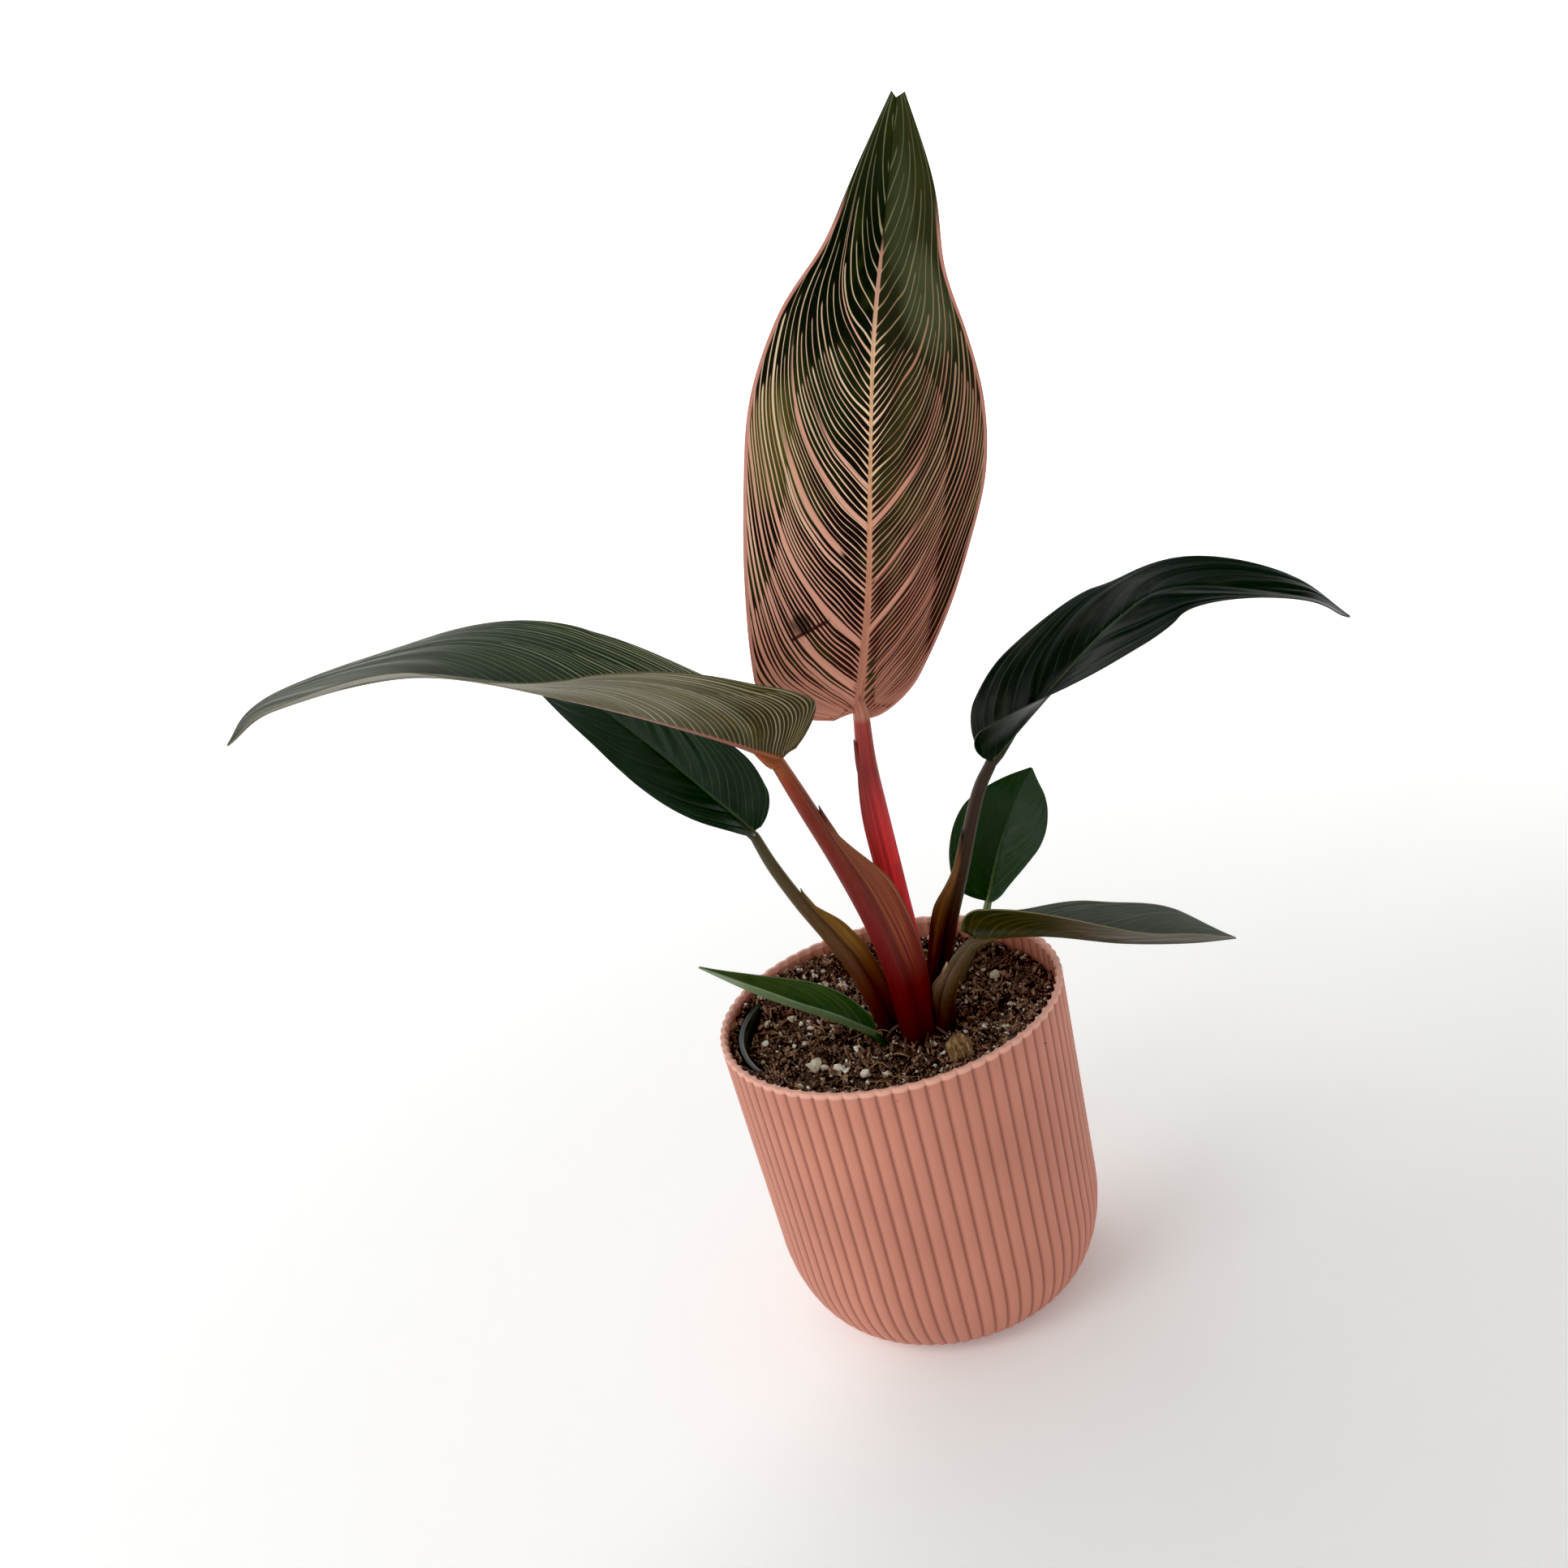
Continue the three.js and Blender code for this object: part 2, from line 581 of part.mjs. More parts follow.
function chipGeometry(larger = 0) {
  const depth = CHIP_THICKNESS + 2 * larger;
  const shape = new THREE.Shape(CHIP_OUTLINE.map(([x, y]) => new THREE.Vector2(x, y)
    .multiplyScalar(1 + larger / CHIP_REACH)));
  return new THREE.ExtrudeGeometry(shape, { depth, bevelEnabled: false })
    .translate(0, 0, -depth / 2)
    .rotateX(THREE.MathUtils.degToRad(CHIP_TILT))
    .rotateZ(THREE.MathUtils.degToRad(CHIP_TURN))
    .translate(...CHIP_PLACE);
}

// The assembly
const plant = new THREE.Group();

function place(name, geometry, colour, roughness) {
  const material = new THREE.MeshStandardMaterial({ color: colour, roughness, metalness: 0 });
  const mesh = new THREE.Mesh(geometry, material);
  mesh.name = name;
  plant.add(mesh);
}

const stalkTools = LEAVES.map((leaf) => stalkGeometry(leaf.stalk, GAP));

place('outer_pot', outerPotGeometry(), 0xc8856f, 0.55);
place('nursery_pot', nurseryPotGeometry(), 0x2c3330, 0.6);
place('stem', cut(stemGeometry(), stalkTools), 0x4a1a12, 0.6);

const stemReach = STEM_RADIUS + GAP;
const stemTool = join([
  new THREE.CylinderGeometry(stemReach, stemReach, STEM_TOP - STEM_BOTTOM + 2 * GAP, STEM_SIDES)
    .rotateX(Math.PI / 2)
    .translate(...STEM_PLACE, (STEM_TOP + STEM_BOTTOM) / 2),
  ...ROOTS.map((spine) => rootGeometry(spine, GAP)),
]);
place('soil', cut(soilGeometry(), [...stalkTools, stemTool, chipGeometry(GAP)]), 0x2e221a, 0.95);
place('bark_chip', chipGeometry(), 0x96793f, 0.85);

LEAVES.forEach((leaf, k) => {
  place(`petiole_${leaf.name}`, stalkGeometry(leaf.stalk), leaf.stalkColour, 0.4);
  place(`blade_${leaf.name}`, cut(bladeGeometry(leaf), [stalkTools[k]]), leaf.bladeColour, 0.35);
});

export default plant;
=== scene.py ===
import math

import bmesh
import bpy
import numpy as np
from mathutils import Matrix, Vector, noise


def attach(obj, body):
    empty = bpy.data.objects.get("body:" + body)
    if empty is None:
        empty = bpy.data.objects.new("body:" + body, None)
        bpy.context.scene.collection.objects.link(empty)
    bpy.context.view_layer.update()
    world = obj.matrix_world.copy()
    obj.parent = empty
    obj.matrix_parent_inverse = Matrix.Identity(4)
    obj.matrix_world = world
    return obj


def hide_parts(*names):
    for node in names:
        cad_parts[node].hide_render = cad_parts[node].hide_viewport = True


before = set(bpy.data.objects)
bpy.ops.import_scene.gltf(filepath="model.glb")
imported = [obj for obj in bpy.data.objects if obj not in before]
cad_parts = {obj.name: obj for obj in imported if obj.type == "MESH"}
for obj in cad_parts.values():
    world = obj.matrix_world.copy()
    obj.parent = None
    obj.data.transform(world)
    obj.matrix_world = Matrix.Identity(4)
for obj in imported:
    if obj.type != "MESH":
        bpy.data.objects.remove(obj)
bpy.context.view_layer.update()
scene = bpy.context.scene
MM = 0.001

# The camera stands where the photograph was taken from, a little above the leaves. It is rolled,
# because the pot is held askew there. Sensor and lens give the frame its width of view.
FRAME_PIXELS = 1932
FOCAL_PIXELS = 2100
SENSOR_WIDTH = 36
CAMERA_PLACE = (-0.0195, -0.6193, 0.4611)
CAMERA_DOWN = math.radians(20.06)
CAMERA_ROLL = math.radians(-14.5)


def in_scene(name, data):
    """A new object in the scene, for a camera, a lamp or a mesh."""
    made = bpy.data.objects.new(name, data)
    scene.collection.objects.link(made)
    return made


camera = in_scene("camera", bpy.data.cameras.new("camera"))
camera.data.sensor_width = SENSOR_WIDTH
camera.data.lens = SENSOR_WIDTH * FOCAL_PIXELS / FRAME_PIXELS
camera.data.clip_start = 0.01
turned = Matrix.Rotation(math.pi / 2 - CAMERA_DOWN, 4, "X") @ Matrix.Rotation(CAMERA_ROLL, 4, "Z")
camera.matrix_world = Matrix.Translation(CAMERA_PLACE) @ turned
scene.camera = camera


# The studio: a pale floor that sweeps up into a round wall far away. Floor and wall glow, dimly near the pot
# and fully far off, and less toward the pot's shaded side: painted shade on the floor. A sky that is
# brightest at the upper left, one broad lamp there and a weak one at the back.
FLOOR_RADIUS = 4.0
WALL_RADIUS = 1.5
WALL_HEIGHT = 2.5
SWEEP_STEPS = 12
SWEEP_SIDES = 96
FAR_GLOW = (0.2, 1.6)
SHADED_SIDE = (0.55, -0.83)
SHADE = 0.6
NEAR_GLOW = 0.3
BLACK_LEVEL = 0.008
SKY_SIDE = (-0.6, -0.12, 0.79)
SKY_DIM = 0.08
SKY_BRIGHT = 0.55
LAMPS = {
    "lamp_left": ((-1.3, -0.9, 1.8), 0.9, 9.5),
    "lamp_back": ((-0.4, 1.5, 1.5), 1.0, 2.5),
}


class Value:
    """One output of a node that takes part in sums as a number does."""

    def __init__(self, graph, socket):
        self.graph = graph
        self.socket = socket

    def __add__(self, other):
        return self.graph.sum("ADD", self, other)

    __radd__ = __add__

    def __sub__(self, other):
        return self.graph.sum("SUBTRACT", self, other)

    def __rsub__(self, other):
        return self.graph.sum("SUBTRACT", other, self)

    def __mul__(self, other):
        return self.graph.sum("MULTIPLY", self, other)

    __rmul__ = __mul__

    def __truediv__(self, other):
        return self.graph.sum("DIVIDE", self, other)

    def __rtruediv__(self, other):
        return self.graph.sum("DIVIDE", other, self)

    def __pow__(self, other):
        return self.graph.sum("POWER", self, other)

    def __abs__(self):
        return self.graph.sum("ABSOLUTE", self, 0)

    def __gt__(self, other):
        return self.graph.sum("GREATER_THAN", self, other)

    def __lt__(self, other):
        return self.graph.sum("LESS_THAN", self, other)

    def out(self, name):
        """Another output of the same node."""
        return Value(self.graph, self.socket.node.outputs[name])


class Graph:
    """A tree of nodes, of a material or of a shape, that is written as sums of its values."""

    def __init__(self, tree):
        self.tree = tree

    def feed(self, node, name, value):
        socket = next(s for s in node.inputs if s.enabled and name in (s.name, s.identifier))
        if isinstance(value, Value):
            self.tree.links.new(value.socket, socket)
        else:
            socket.default_value = value

    def node(self, kind, settings=None, inputs=None, output=None):
        made = self.tree.nodes.new(kind)
        for name, value in (settings or {}).items():
            if name == "stops":
                ramp = made.color_ramp
                while len(ramp.elements) < len(value):
                    ramp.elements.new(1)
                for element, (place, colour) in zip(ramp.elements, value):
                    element.position = place
                    element.color = colour
            else:
                setattr(made, name, value)
        for name, value in (inputs or {}).items():
            self.feed(made, name, value)
        open_outputs = [s for s in made.outputs if s.enabled]
        found = [s for s in open_outputs if s.name == output] or open_outputs
        return Value(self, found[0])

    def sum(self, operation, a, b):
        made = self.node("ShaderNodeMath", {"operation": operation})
        for socket, value in zip(made.socket.node.inputs, (a, b)):
            if isinstance(value, Value):
                self.tree.links.new(value.socket, socket)
            else:
                socket.default_value = value
        return made

    def sine(self, angle):
        return self.sum("SINE", angle, 0)

    def least(self, a, b):
        return self.sum("MINIMUM", a, b)

    def most(self, a, b):
        return self.sum("MAXIMUM", a, b)

    def point(self, x, y, z):
        return self.node("ShaderNodeCombineXYZ", None, {"X": x, "Y": y, "Z": z})

    def parts(self, vector):
        split = self.node("ShaderNodeSeparateXYZ", None, {"Vector": vector}, "X")
        return split, split.out("Y"), split.out("Z")

    def rise(self, value, low, high):
        """0 below low, 1 above high and a soft step between."""
        settings = {"interpolation_type": "SMOOTHSTEP"}
        inputs = {"Value": value, "From Min": low, "From Max": high}
        return self.node("ShaderNodeMapRange", settings, inputs, "Result")

    def mix(self, share, first, second):
        """Two colours blended; one of three numbers is given as it looks on a screen."""
        first, second = [tone(*c) if isinstance(c, tuple) and len(c) == 3 else c for c in (first, second)]
        inputs = {"Factor": share, "A": first, "B": second}
        return self.node("ShaderNodeMix", {"data_type": "RGBA"}, inputs, "Result")

    def noise(self, place, scale, detail=2.0, roughness=0.5):
        inputs = {"Vector": place, "Scale": scale, "Detail": detail, "Roughness": roughness}
        return self.node("ShaderNodeTexNoise", None, inputs, "Fac")

    def ramp(self, value, stops):
        """Numbers (place, number) or colours (place, red, green, blue) that follow a value."""
        full = [(place, tone(*c) if len(c) == 3 else (c[0], c[0], c[0], 1)) for place, *c in stops]
        return self.node("ShaderNodeValToRGB", {"stops": full}, {"Fac": value}, "Color")


class Finish(Graph):
    """A material with one shader, whose sockets take colours, numbers and values."""

    def __init__(self, name, **sockets):
        self.material = bpy.data.materials.new(name)
        self.material.use_nodes = True
        super().__init__(self.material.node_tree)
        self.shader = self.tree.nodes["Principled BSDF"]
        self.set(**sockets)

    def set(self, **sockets):
        for name, value in sockets.items():
            self.feed(self.shader, name.replace("_", " "), value)

    def relief(self, height, depth):
        """Small bumps; depth is the height of a full step in millimetres."""
        inputs = {"Height": height, "Distance": depth * MM, "Strength": 1.0}
        self.set(Normal=self.node("ShaderNodeBump", None, inputs))

    def surface(self):
        return self.node("ShaderNodeTexCoord", None, None, "Object").out("Object")

    def stored(self, name, output="Fac"):
        """What a mesh keeps at each of its points under this name."""
        return self.node("ShaderNodeAttribute", {"attribute_name": name}, None, output)


def tone(red, green, blue):
    """A colour as it looks on a screen, from 0 to 255, as the light that it gives back."""
    light = [c / 12.92 if c <= 0.04045 else ((c + 0.055) / 1.055) ** 2.4
             for c in (red / 255, green / 255, blue / 255)]
    return (*light, 1.0)


def smooth(mesh, on=True):
    mesh.polygons.foreach_set("use_smooth", [on] * len(mesh.polygons))
    return mesh


def new_mesh(name, points, faces):
    """A smooth mesh from points in millimetres."""
    mesh = bpy.data.meshes.new(name)
    mesh.from_pydata((np.asarray(points, float) * MM).tolist(), [], [list(f) for f in faces])
    return smooth(mesh)


def outward(mesh):
    """The same closed mesh with all its faces turned outwards."""
    shape = bmesh.new()
    shape.from_mesh(mesh)
    bmesh.ops.recalc_face_normals(shape, faces=shape.faces)
    shape.to_mesh(mesh)
    shape.free()
    return mesh


def new_piece(name, mesh, material, slot=None, nodes=()):
    """An object for a finished mesh; every piece of the plant rides on the one body."""
    piece = in_scene(name, mesh)
    mesh.materials.clear()
    mesh.materials.append(material)
    if slot:
        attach(piece, "root")
    if nodes:
        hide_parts(*nodes)
    return piece


def skin_faces(rows, sides, first, start, end):
    """Faces over rows of points from the first on, with a fan to one point over each end."""
    last = first + (rows - 1) * sides
    faces = []
    for k in range(sides):
        following = (k + 1) % sides
        faces.append((start, first + following, first + k))
        faces.append((last + k, last + following, end))
        for row in range(first, last, sides):
            faces.append((row + k, row + following, row + sides + following, row + sides + k))
    return faces


def tube(rings):
    """Points and faces of a closed skin over rings of points."""
    count, sides, _ = rings.shape
    points = np.concatenate([rings.reshape(-1, 3), rings[[0, -1]].mean(1)])
    return points, skin_faces(count, sides, 0, len(points) - 2, len(points) - 1)


def lathe(profile, sides):
    """Points and faces of a profile of (radius, height) turned round Z; it starts and ends on Z."""
    angles = 2 * np.pi * np.arange(sides) / sides
    inner = np.array(profile[1:-1], float)
    points = [[0, 0, profile[0][1]], [0, 0, profile[-1][1]]]
    for radius, height in inner:
        points += [[radius * math.cos(a), radius * math.sin(a), height] for a in angles]
    faces = []
    last = 2 + (len(inner) - 1) * sides
    for k in range(sides):
        following = (k + 1) % sides
        faces.append((0, 2 + following, 2 + k))
        faces.append((1, last + k, last + following))
        for i in range(len(inner) - 1):
            row = 2 + i * sides
            faces.append((row + k, row + following, row + sides + following, row + sides + k))
    return points, faces


sweep = [(0, 0), (FLOOR_RADIUS, 0)]
for step in range(1, SWEEP_STEPS + 1):
    bend = step / SWEEP_STEPS * math.pi / 2
    sweep.append((FLOOR_RADIUS + WALL_RADIUS * math.sin(bend), WALL_RADIUS * (1 - math.cos(bend))))
sweep.append((FLOOR_RADIUS + WALL_RADIUS, WALL_HEIGHT))
sweep_profile = [(r / MM, z / MM) for r, z in sweep] + [(0, WALL_HEIGHT / MM)]
sweep_points, sweep_faces = lathe(sweep_profile, SWEEP_SIDES)
ceiling = 1
sweep_faces = [f for f in sweep_faces if ceiling not in f]
floor_paint = Finish("floor_paint", Base_Color=tone(242, 242, 241), Roughness=0.9, Emission_Strength=1.0)
floor_x, floor_y, _ = floor_paint.parts(floor_paint.surface())
floor_distance = (floor_x * floor_x + floor_y * floor_y) ** 0.5
# The floor's glow: low near the pot, full far off, and cut toward the pot's shaded side as painted shade.
far_off = floor_paint.rise(floor_distance, *FAR_GLOW) * (1 - NEAR_GLOW) + NEAR_GLOW
shaded = (floor_x * SHADED_SIDE[0] + floor_y * SHADED_SIDE[1]) / (floor_distance + 0.01)
far_off = far_off * (1 - floor_paint.rise(shaded, -0.1, 0.8) * SHADE)
floor_paint.set(Emission_Color=floor_paint.mix(far_off, (0, 0, 0, 1), (0.9, 0.9, 0.9, 1)))
floor_paint.material.cycles.emission_sampling = "NONE"
new_piece("floor", new_mesh("floor", sweep_points, sweep_faces), floor_paint.material)

world = bpy.data.worlds.new("studio")
world.use_nodes = True
sky = Graph(world.node_tree)
sky_x, sky_y, sky_z = sky.parts(sky.node("ShaderNodeTexCoord", None, None, "Generated"))
toward_light = sky_x * SKY_SIDE[0] + sky_y * SKY_SIDE[1] + sky_z * SKY_SIDE[2]
sky_light = sky.rise(toward_light, -0.4, 1.0) * (SKY_BRIGHT - SKY_DIM) + SKY_DIM
sky.feed(world.node_tree.nodes["Background"], "Strength", sky_light)
sky.feed(world.node_tree.nodes["Background"], "Color", (1, 1, 1, 1))
scene.world = world
scene.view_settings.view_transform = "Standard"
scene.view_settings.use_curve_mapping = True
scene.view_settings.curve_mapping.black_level = (BLACK_LEVEL, BLACK_LEVEL, BLACK_LEVEL)
for lamp_name, (place, size, power) in LAMPS.items():
    lamp = in_scene(lamp_name, bpy.data.lights.new(lamp_name, "AREA"))
    lamp.data.size = size
    lamp.data.energy = power
    aim = Vector((0, 0, 0.2)) - Vector(place)
    lamp.location = place
    lamp.rotation_euler = aim.to_track_quat("-Z", "Y").to_euler()


# Cover pot: one salmon-pink plastic shell, moulded in 70 narrow round-backed pleats that run from
# the flat foot to the rim, inside and outside alike. It stands free and holds the nursery pot.
POT_RADIUS = 71
POT_HEIGHT = 134
POT_FOOT_RADIUS = 46
POT_BELLY_RADIUS = 68
POT_BELLY_HEIGHT = 42
POT_WALL = 2
POT_FLOOR = 2.5
POT_RIBS = 70
POT_RIB_DEPTH = 1.15
RIB_SIDES = 16
RIB_FULLNESS = 0.55
RIM_ROUNDING = 0.35
PLEAT_SHADE = 0.6


def pot_radius(z):
    if z < POT_BELLY_HEIGHT:
        drop = (POT_BELLY_HEIGHT - z) / POT_BELLY_HEIGHT
        return POT_FOOT_RADIUS + (POT_BELLY_RADIUS - POT_FOOT_RADIUS) * math.sqrt(1 - drop**2)
    share = (z - POT_BELLY_HEIGHT) / (POT_HEIGHT - POT_BELLY_HEIGHT)
    return POT_BELLY_RADIUS + (POT_RADIUS - POT_BELLY_RADIUS) * share


def pot_profile():
    """(radius, height, share of the pleat's depth) from under the foot, over the rim, to the floor."""
    belly = [POT_BELLY_HEIGHT * (1 - math.cos(math.pi / 2 * k / 20)) for k in range(1, 21)]
    wall = [POT_BELLY_HEIGHT + (POT_HEIGHT - RIM_ROUNDING - POT_BELLY_HEIGHT) * k / 8 for k in range(1, 9)]
    rows = [(0, 0, 0), (POT_FOOT_RADIUS - 6, 0, 0), (POT_FOOT_RADIUS - 1, 0, 0), (POT_FOOT_RADIUS, 0.25, 0.1)]
    rows += [(pot_radius(z), z, min(1, z / 4)) for z in belly + wall]
    corner = RIM_ROUNDING * 0.3
    top = pot_radius(POT_HEIGHT)
    rows += [(top - corner, POT_HEIGHT - corner, 1)]
    rows += [(top - RIM_ROUNDING, POT_HEIGHT, 1)]
    rows += [(top - POT_WALL + RIM_ROUNDING, POT_HEIGHT, 1)]
    rows += [(top - POT_WALL + corner, POT_HEIGHT - corner, 1)]
    inner = [z for z in reversed(belly + wall) if z > POT_FLOOR + 0.5]
    rows += [(pot_radius(z) - POT_WALL, z, min(1, z / 8)) for z in inner]
    rows += [(POT_FOOT_RADIUS - 2, POT_FLOOR, 0), (0, POT_FLOOR, 0)]
    return rows


def new_shape(name, inputs):
    """A tree for a shape: geometry in and out, and named inputs given as (kind, value)."""
    tree = bpy.data.node_groups.new(name, "GeometryNodeTree")
    tree.interface.new_socket("Geometry", in_out="INPUT", socket_type="NodeSocketGeometry")
    tree.interface.new_socket("Geometry", in_out="OUTPUT", socket_type="NodeSocketGeometry")
    for label, kind in inputs.items():
        tree.interface.new_socket(label, in_out="INPUT", socket_type="NodeSocket" + kind)
    shape = Graph(tree)
    return shape, shape.node("NodeGroupInput")


def finish_shape(shape, geometry):
    """The end of every tree: its instances made real, and a material slot set on them."""
    real = shape.node("GeometryNodeRealizeInstances", None, {"Geometry": geometry})
    coated = shape.node("GeometryNodeSetMaterial", None, {"Geometry": real})
    shape.tree.links.new(coated.socket, shape.tree.nodes.new("NodeGroupOutput").inputs[0])


def grown(name, mesh, shape, values):
    """The plain mesh that a shape's tree makes from a mesh."""
    carrier = in_scene(name, mesh)
    modifier = carrier.modifiers.new(name, "NODES")
    modifier.node_group = shape.tree
    for item in shape.tree.interface.items_tree:
        if item.in_out == "INPUT" and item.name in values:
            modifier[item.identifier] = values[item.name]
    depsgraph = bpy.context.evaluated_depsgraph_get()
    made = bpy.data.meshes.new_from_object(
        carrier.evaluated_get(depsgraph), preserve_all_data_layers=True, depsgraph=depsgraph)
    bpy.data.objects.remove(carrier)
    made.name = name
    return made


def pleated_shape():
    shape, start = new_shape("pleated", {"Rows": "Int", "Ribs": "Int", "Rib Sides": "Int", "Depth": "Float"})
    ribs = start.out("Ribs")
    around = shape.sum("ADD", ribs * start.out("Rib Sides"), 1)
    grid_inputs = {"Vertices X": around, "Vertices Y": start.out("Rows")}
    grid = shape.node("GeometryNodeMeshGrid", None, grid_inputs, "Mesh")
    turn, along_profile, _ = shape.parts(grid.out("UV Map"))
    row = shape.sum("ROUND", along_profile * (start.out("Rows") - 1), 0)
    place = shape.node("GeometryNodeInputPosition")
    sample = {"Geometry": start.out("Geometry"), "Value": place, "Index": row}
    profile = shape.node("GeometryNodeSampleIndex", {"data_type": "FLOAT_VECTOR"}, sample)
    radius, share, height = shape.parts(profile)
    angle = turn * (2 * math.pi)
    arch = abs(shape.sine(angle * ribs / 2)) ** RIB_FULLNESS
    pleated = radius - (1 - arch) * start.out("Depth") * share / MM
    spot = shape.point(pleated * shape.sum("COSINE", angle, 0), pleated * shape.sine(angle), height)
    bent = shape.node("GeometryNodeSetPosition", None, {"Geometry": grid, "Position": spot})
    closed = shape.node("GeometryNodeMergeByDistance", None, {"Geometry": bent, "Distance": 1e-6})
    finish_shape(shape, closed)
    return shape


profile_rows = pot_profile()
profile_mesh = new_mesh("pot_profile", [(r, share, z) for r, z, share in profile_rows], [])
pot_values = {"Rows": len(profile_rows), "Ribs": POT_RIBS, "Rib Sides": RIB_SIDES,
              "Depth": POT_RIB_DEPTH * MM}
pot_mesh = smooth(outward(grown("cover_pot", profile_mesh, pleated_shape(), pot_values)))


def cover_pot_finish():
    finish = Finish("salmon_plastic", Specular_IOR_Level=0.35)
    place = finish.surface()
    x, y, height = finish.parts(place)
    cloud = finish.noise(place, 18, 3)
    grain = finish.noise(place, 1500, 2)
    colour = finish.mix(finish.rise(cloud, 0.3, 0.7), (190, 124, 104), (200, 132, 112))
    # Painted shade: the grooves between the pleats are darkened, as if in their own shadow.
    groove = 1 - finish.rise(abs(finish.sine(finish.sum("ARCTAN2", y, x) * (POT_RIBS / 2))), 0.0, 0.7)
    rim = POT_HEIGHT * MM
    ribbed = finish.rise(height, 0.002, 0.006) * (1 - finish.rise(height, rim - 0.0015, rim - 0.0005))
    colour = finish.mix(groove * ribbed * PLEAT_SHADE, colour, (136, 80, 66))
    colour = finish.mix(finish.rise(grain, 0.62, 0.8) * 0.25, colour, (168, 98, 82))
    # Painted highlight: a strip along the rim's top is lighter, as if lit from above.
    colour = finish.mix(finish.rise(height, rim - 0.0026, rim - 0.0016) * 0.85, colour, (228, 172, 152))
    dust = finish.rise(finish.noise(place, 330, 4), 0.66, 0.7) * finish.rise(height, rim - 0.016, rim)
    colour = finish.mix(dust * 0.3, colour, (84, 52, 40))
    finish.set(Base_Color=colour, Roughness=finish.rise(cloud, 0.2, 0.8) * 0.1 + 0.48)
    finish.relief(grain, 0.03)
    return finish.material


new_piece("cover_pot", pot_mesh, cover_pot_finish(), "outer_pot", ["outer_pot"])


# Nursery pot: a thin dark grey-green grow pot, blown in one piece with a rolled lip and four drain
# holes. It stands loose in the cover pot, a little to the left and with its left side raised.
NURSERY_RIM_RADIUS = 60
NURSERY_BASE_RADIUS = 42
NURSERY_HEIGHT = 121
NURSERY_WALL = 1
NURSERY_LIP = 1.4
NURSERY_LIP_HEIGHT = 6
NURSERY_TILT = math.radians(4)
NURSERY_SHIFT = -11.2
NURSERY_SIDES = 128
DRAIN_RADIUS = 4
DRAIN_CIRCLE = 28
DRAINS = 4
FIT_GAP = 0.3

nursery_lift = POT_FLOOR + FIT_GAP + NURSERY_BASE_RADIUS * math.sin(NURSERY_TILT)
nursery_place = Matrix.Translation((NURSERY_SHIFT, 0, nursery_lift)) @ Matrix.Rotation(NURSERY_TILT, 4, "Y")


def nursery_radius(height):
    return NURSERY_BASE_RADIUS + (NURSERY_RIM_RADIUS - NURSERY_BASE_RADIUS) * height / NURSERY_HEIGHT


def nursery_mesh():
    lip_foot = NURSERY_HEIGHT - NURSERY_LIP_HEIGHT
    neck = lip_foot - 2 * NURSERY_LIP
    lip = NURSERY_RIM_RADIUS + NURSERY_LIP
    profile = [(0, 0), (NURSERY_BASE_RADIUS - 1, 0), (NURSERY_BASE_RADIUS, 1)]
    profile += [(nursery_radius(neck * k / 8), neck * k / 8) for k in range(1, 9)]
    profile += [(lip - 0.3, lip_foot), (lip, lip_foot + 0.6), (lip, NURSERY_HEIGHT - 0.5)]
    profile += [(lip - 0.3, NURSERY_HEIGHT), (NURSERY_RIM_RADIUS - NURSERY_WALL + 0.4, NURSERY_HEIGHT)]
    profile += [(NURSERY_RIM_RADIUS - NURSERY_WALL, NURSERY_HEIGHT - 0.6)]
    profile += [(nursery_radius(neck * k / 8) - NURSERY_WALL, neck * k / 8) for k in range(8, 0, -1)]
    profile += [(NURSERY_BASE_RADIUS - NURSERY_WALL, NURSERY_WALL), (0, NURSERY_WALL)]
    wall = outward(new_mesh("nursery_pot", *lathe(profile, NURSERY_SIDES)))
    body = in_scene("nursery_body", wall)
    cutters = []
    for k in range(DRAINS):
        angle = 2 * math.pi * (k + 0.5) / DRAINS
        column = [(0, -3), (DRAIN_RADIUS, -3), (DRAIN_RADIUS, 3), (0, 3)]
        points, faces = lathe(column, 32)
        shift = np.array([DRAIN_CIRCLE * math.cos(angle), DRAIN_CIRCLE * math.sin(angle), 0])
        drain = outward(new_mesh("drain", np.array(points) + shift, faces))
        cutter = in_scene("drain", drain)
        cutters.append(cutter)
        cut = body.modifiers.new("drain", "BOOLEAN")
        cut.object = cutter
        cut.solver = "EXACT"
    depsgraph = bpy.context.evaluated_depsgraph_get()
    made = bpy.data.meshes.new_from_object(body.evaluated_get(depsgraph))
    for spent in (body, *cutters):
        bpy.data.objects.remove(spent)
    scaled = Matrix.Scale(MM, 4) @ nursery_place @ Matrix.Scale(1 / MM, 4)
    made.transform(scaled)
    return made


def nursery_finish():
    finish = Finish("grow_pot_plastic", Specular_IOR_Level=0.3)
    place = finish.surface()
    scuff = finish.noise(place, 90, 4)
    crumbs = finish.rise(finish.noise(place, 420, 3), 0.6, 0.68)
    colour = finish.mix(finish.rise(scuff, 0.4, 0.75), (20, 30, 24), (38, 50, 41))
    colour = finish.mix(crumbs * 0.7, colour, (60, 44, 32))
    finish.set(Base_Color=colour, Roughness=crumbs * 0.4 + 0.34)
    finish.relief(scuff, 0.15)
    return finish.material


new_piece("grow_pot", nursery_mesh(), nursery_finish(), "nursery_pot", ["nursery_pot"])


# Soil: a loose mix of dark peat, brown bark bits and white perlite that fills the nursery pot up to
# a level, lumpy top. The grains are scattered over the top by three small rules with fixed seeds.
SOIL_TOP = 121.5
SOIL_RELIEF = 0.9
SOIL_SIDES = 160
SOIL_RINGS = 56
SOIL_LUMPS = 0.8


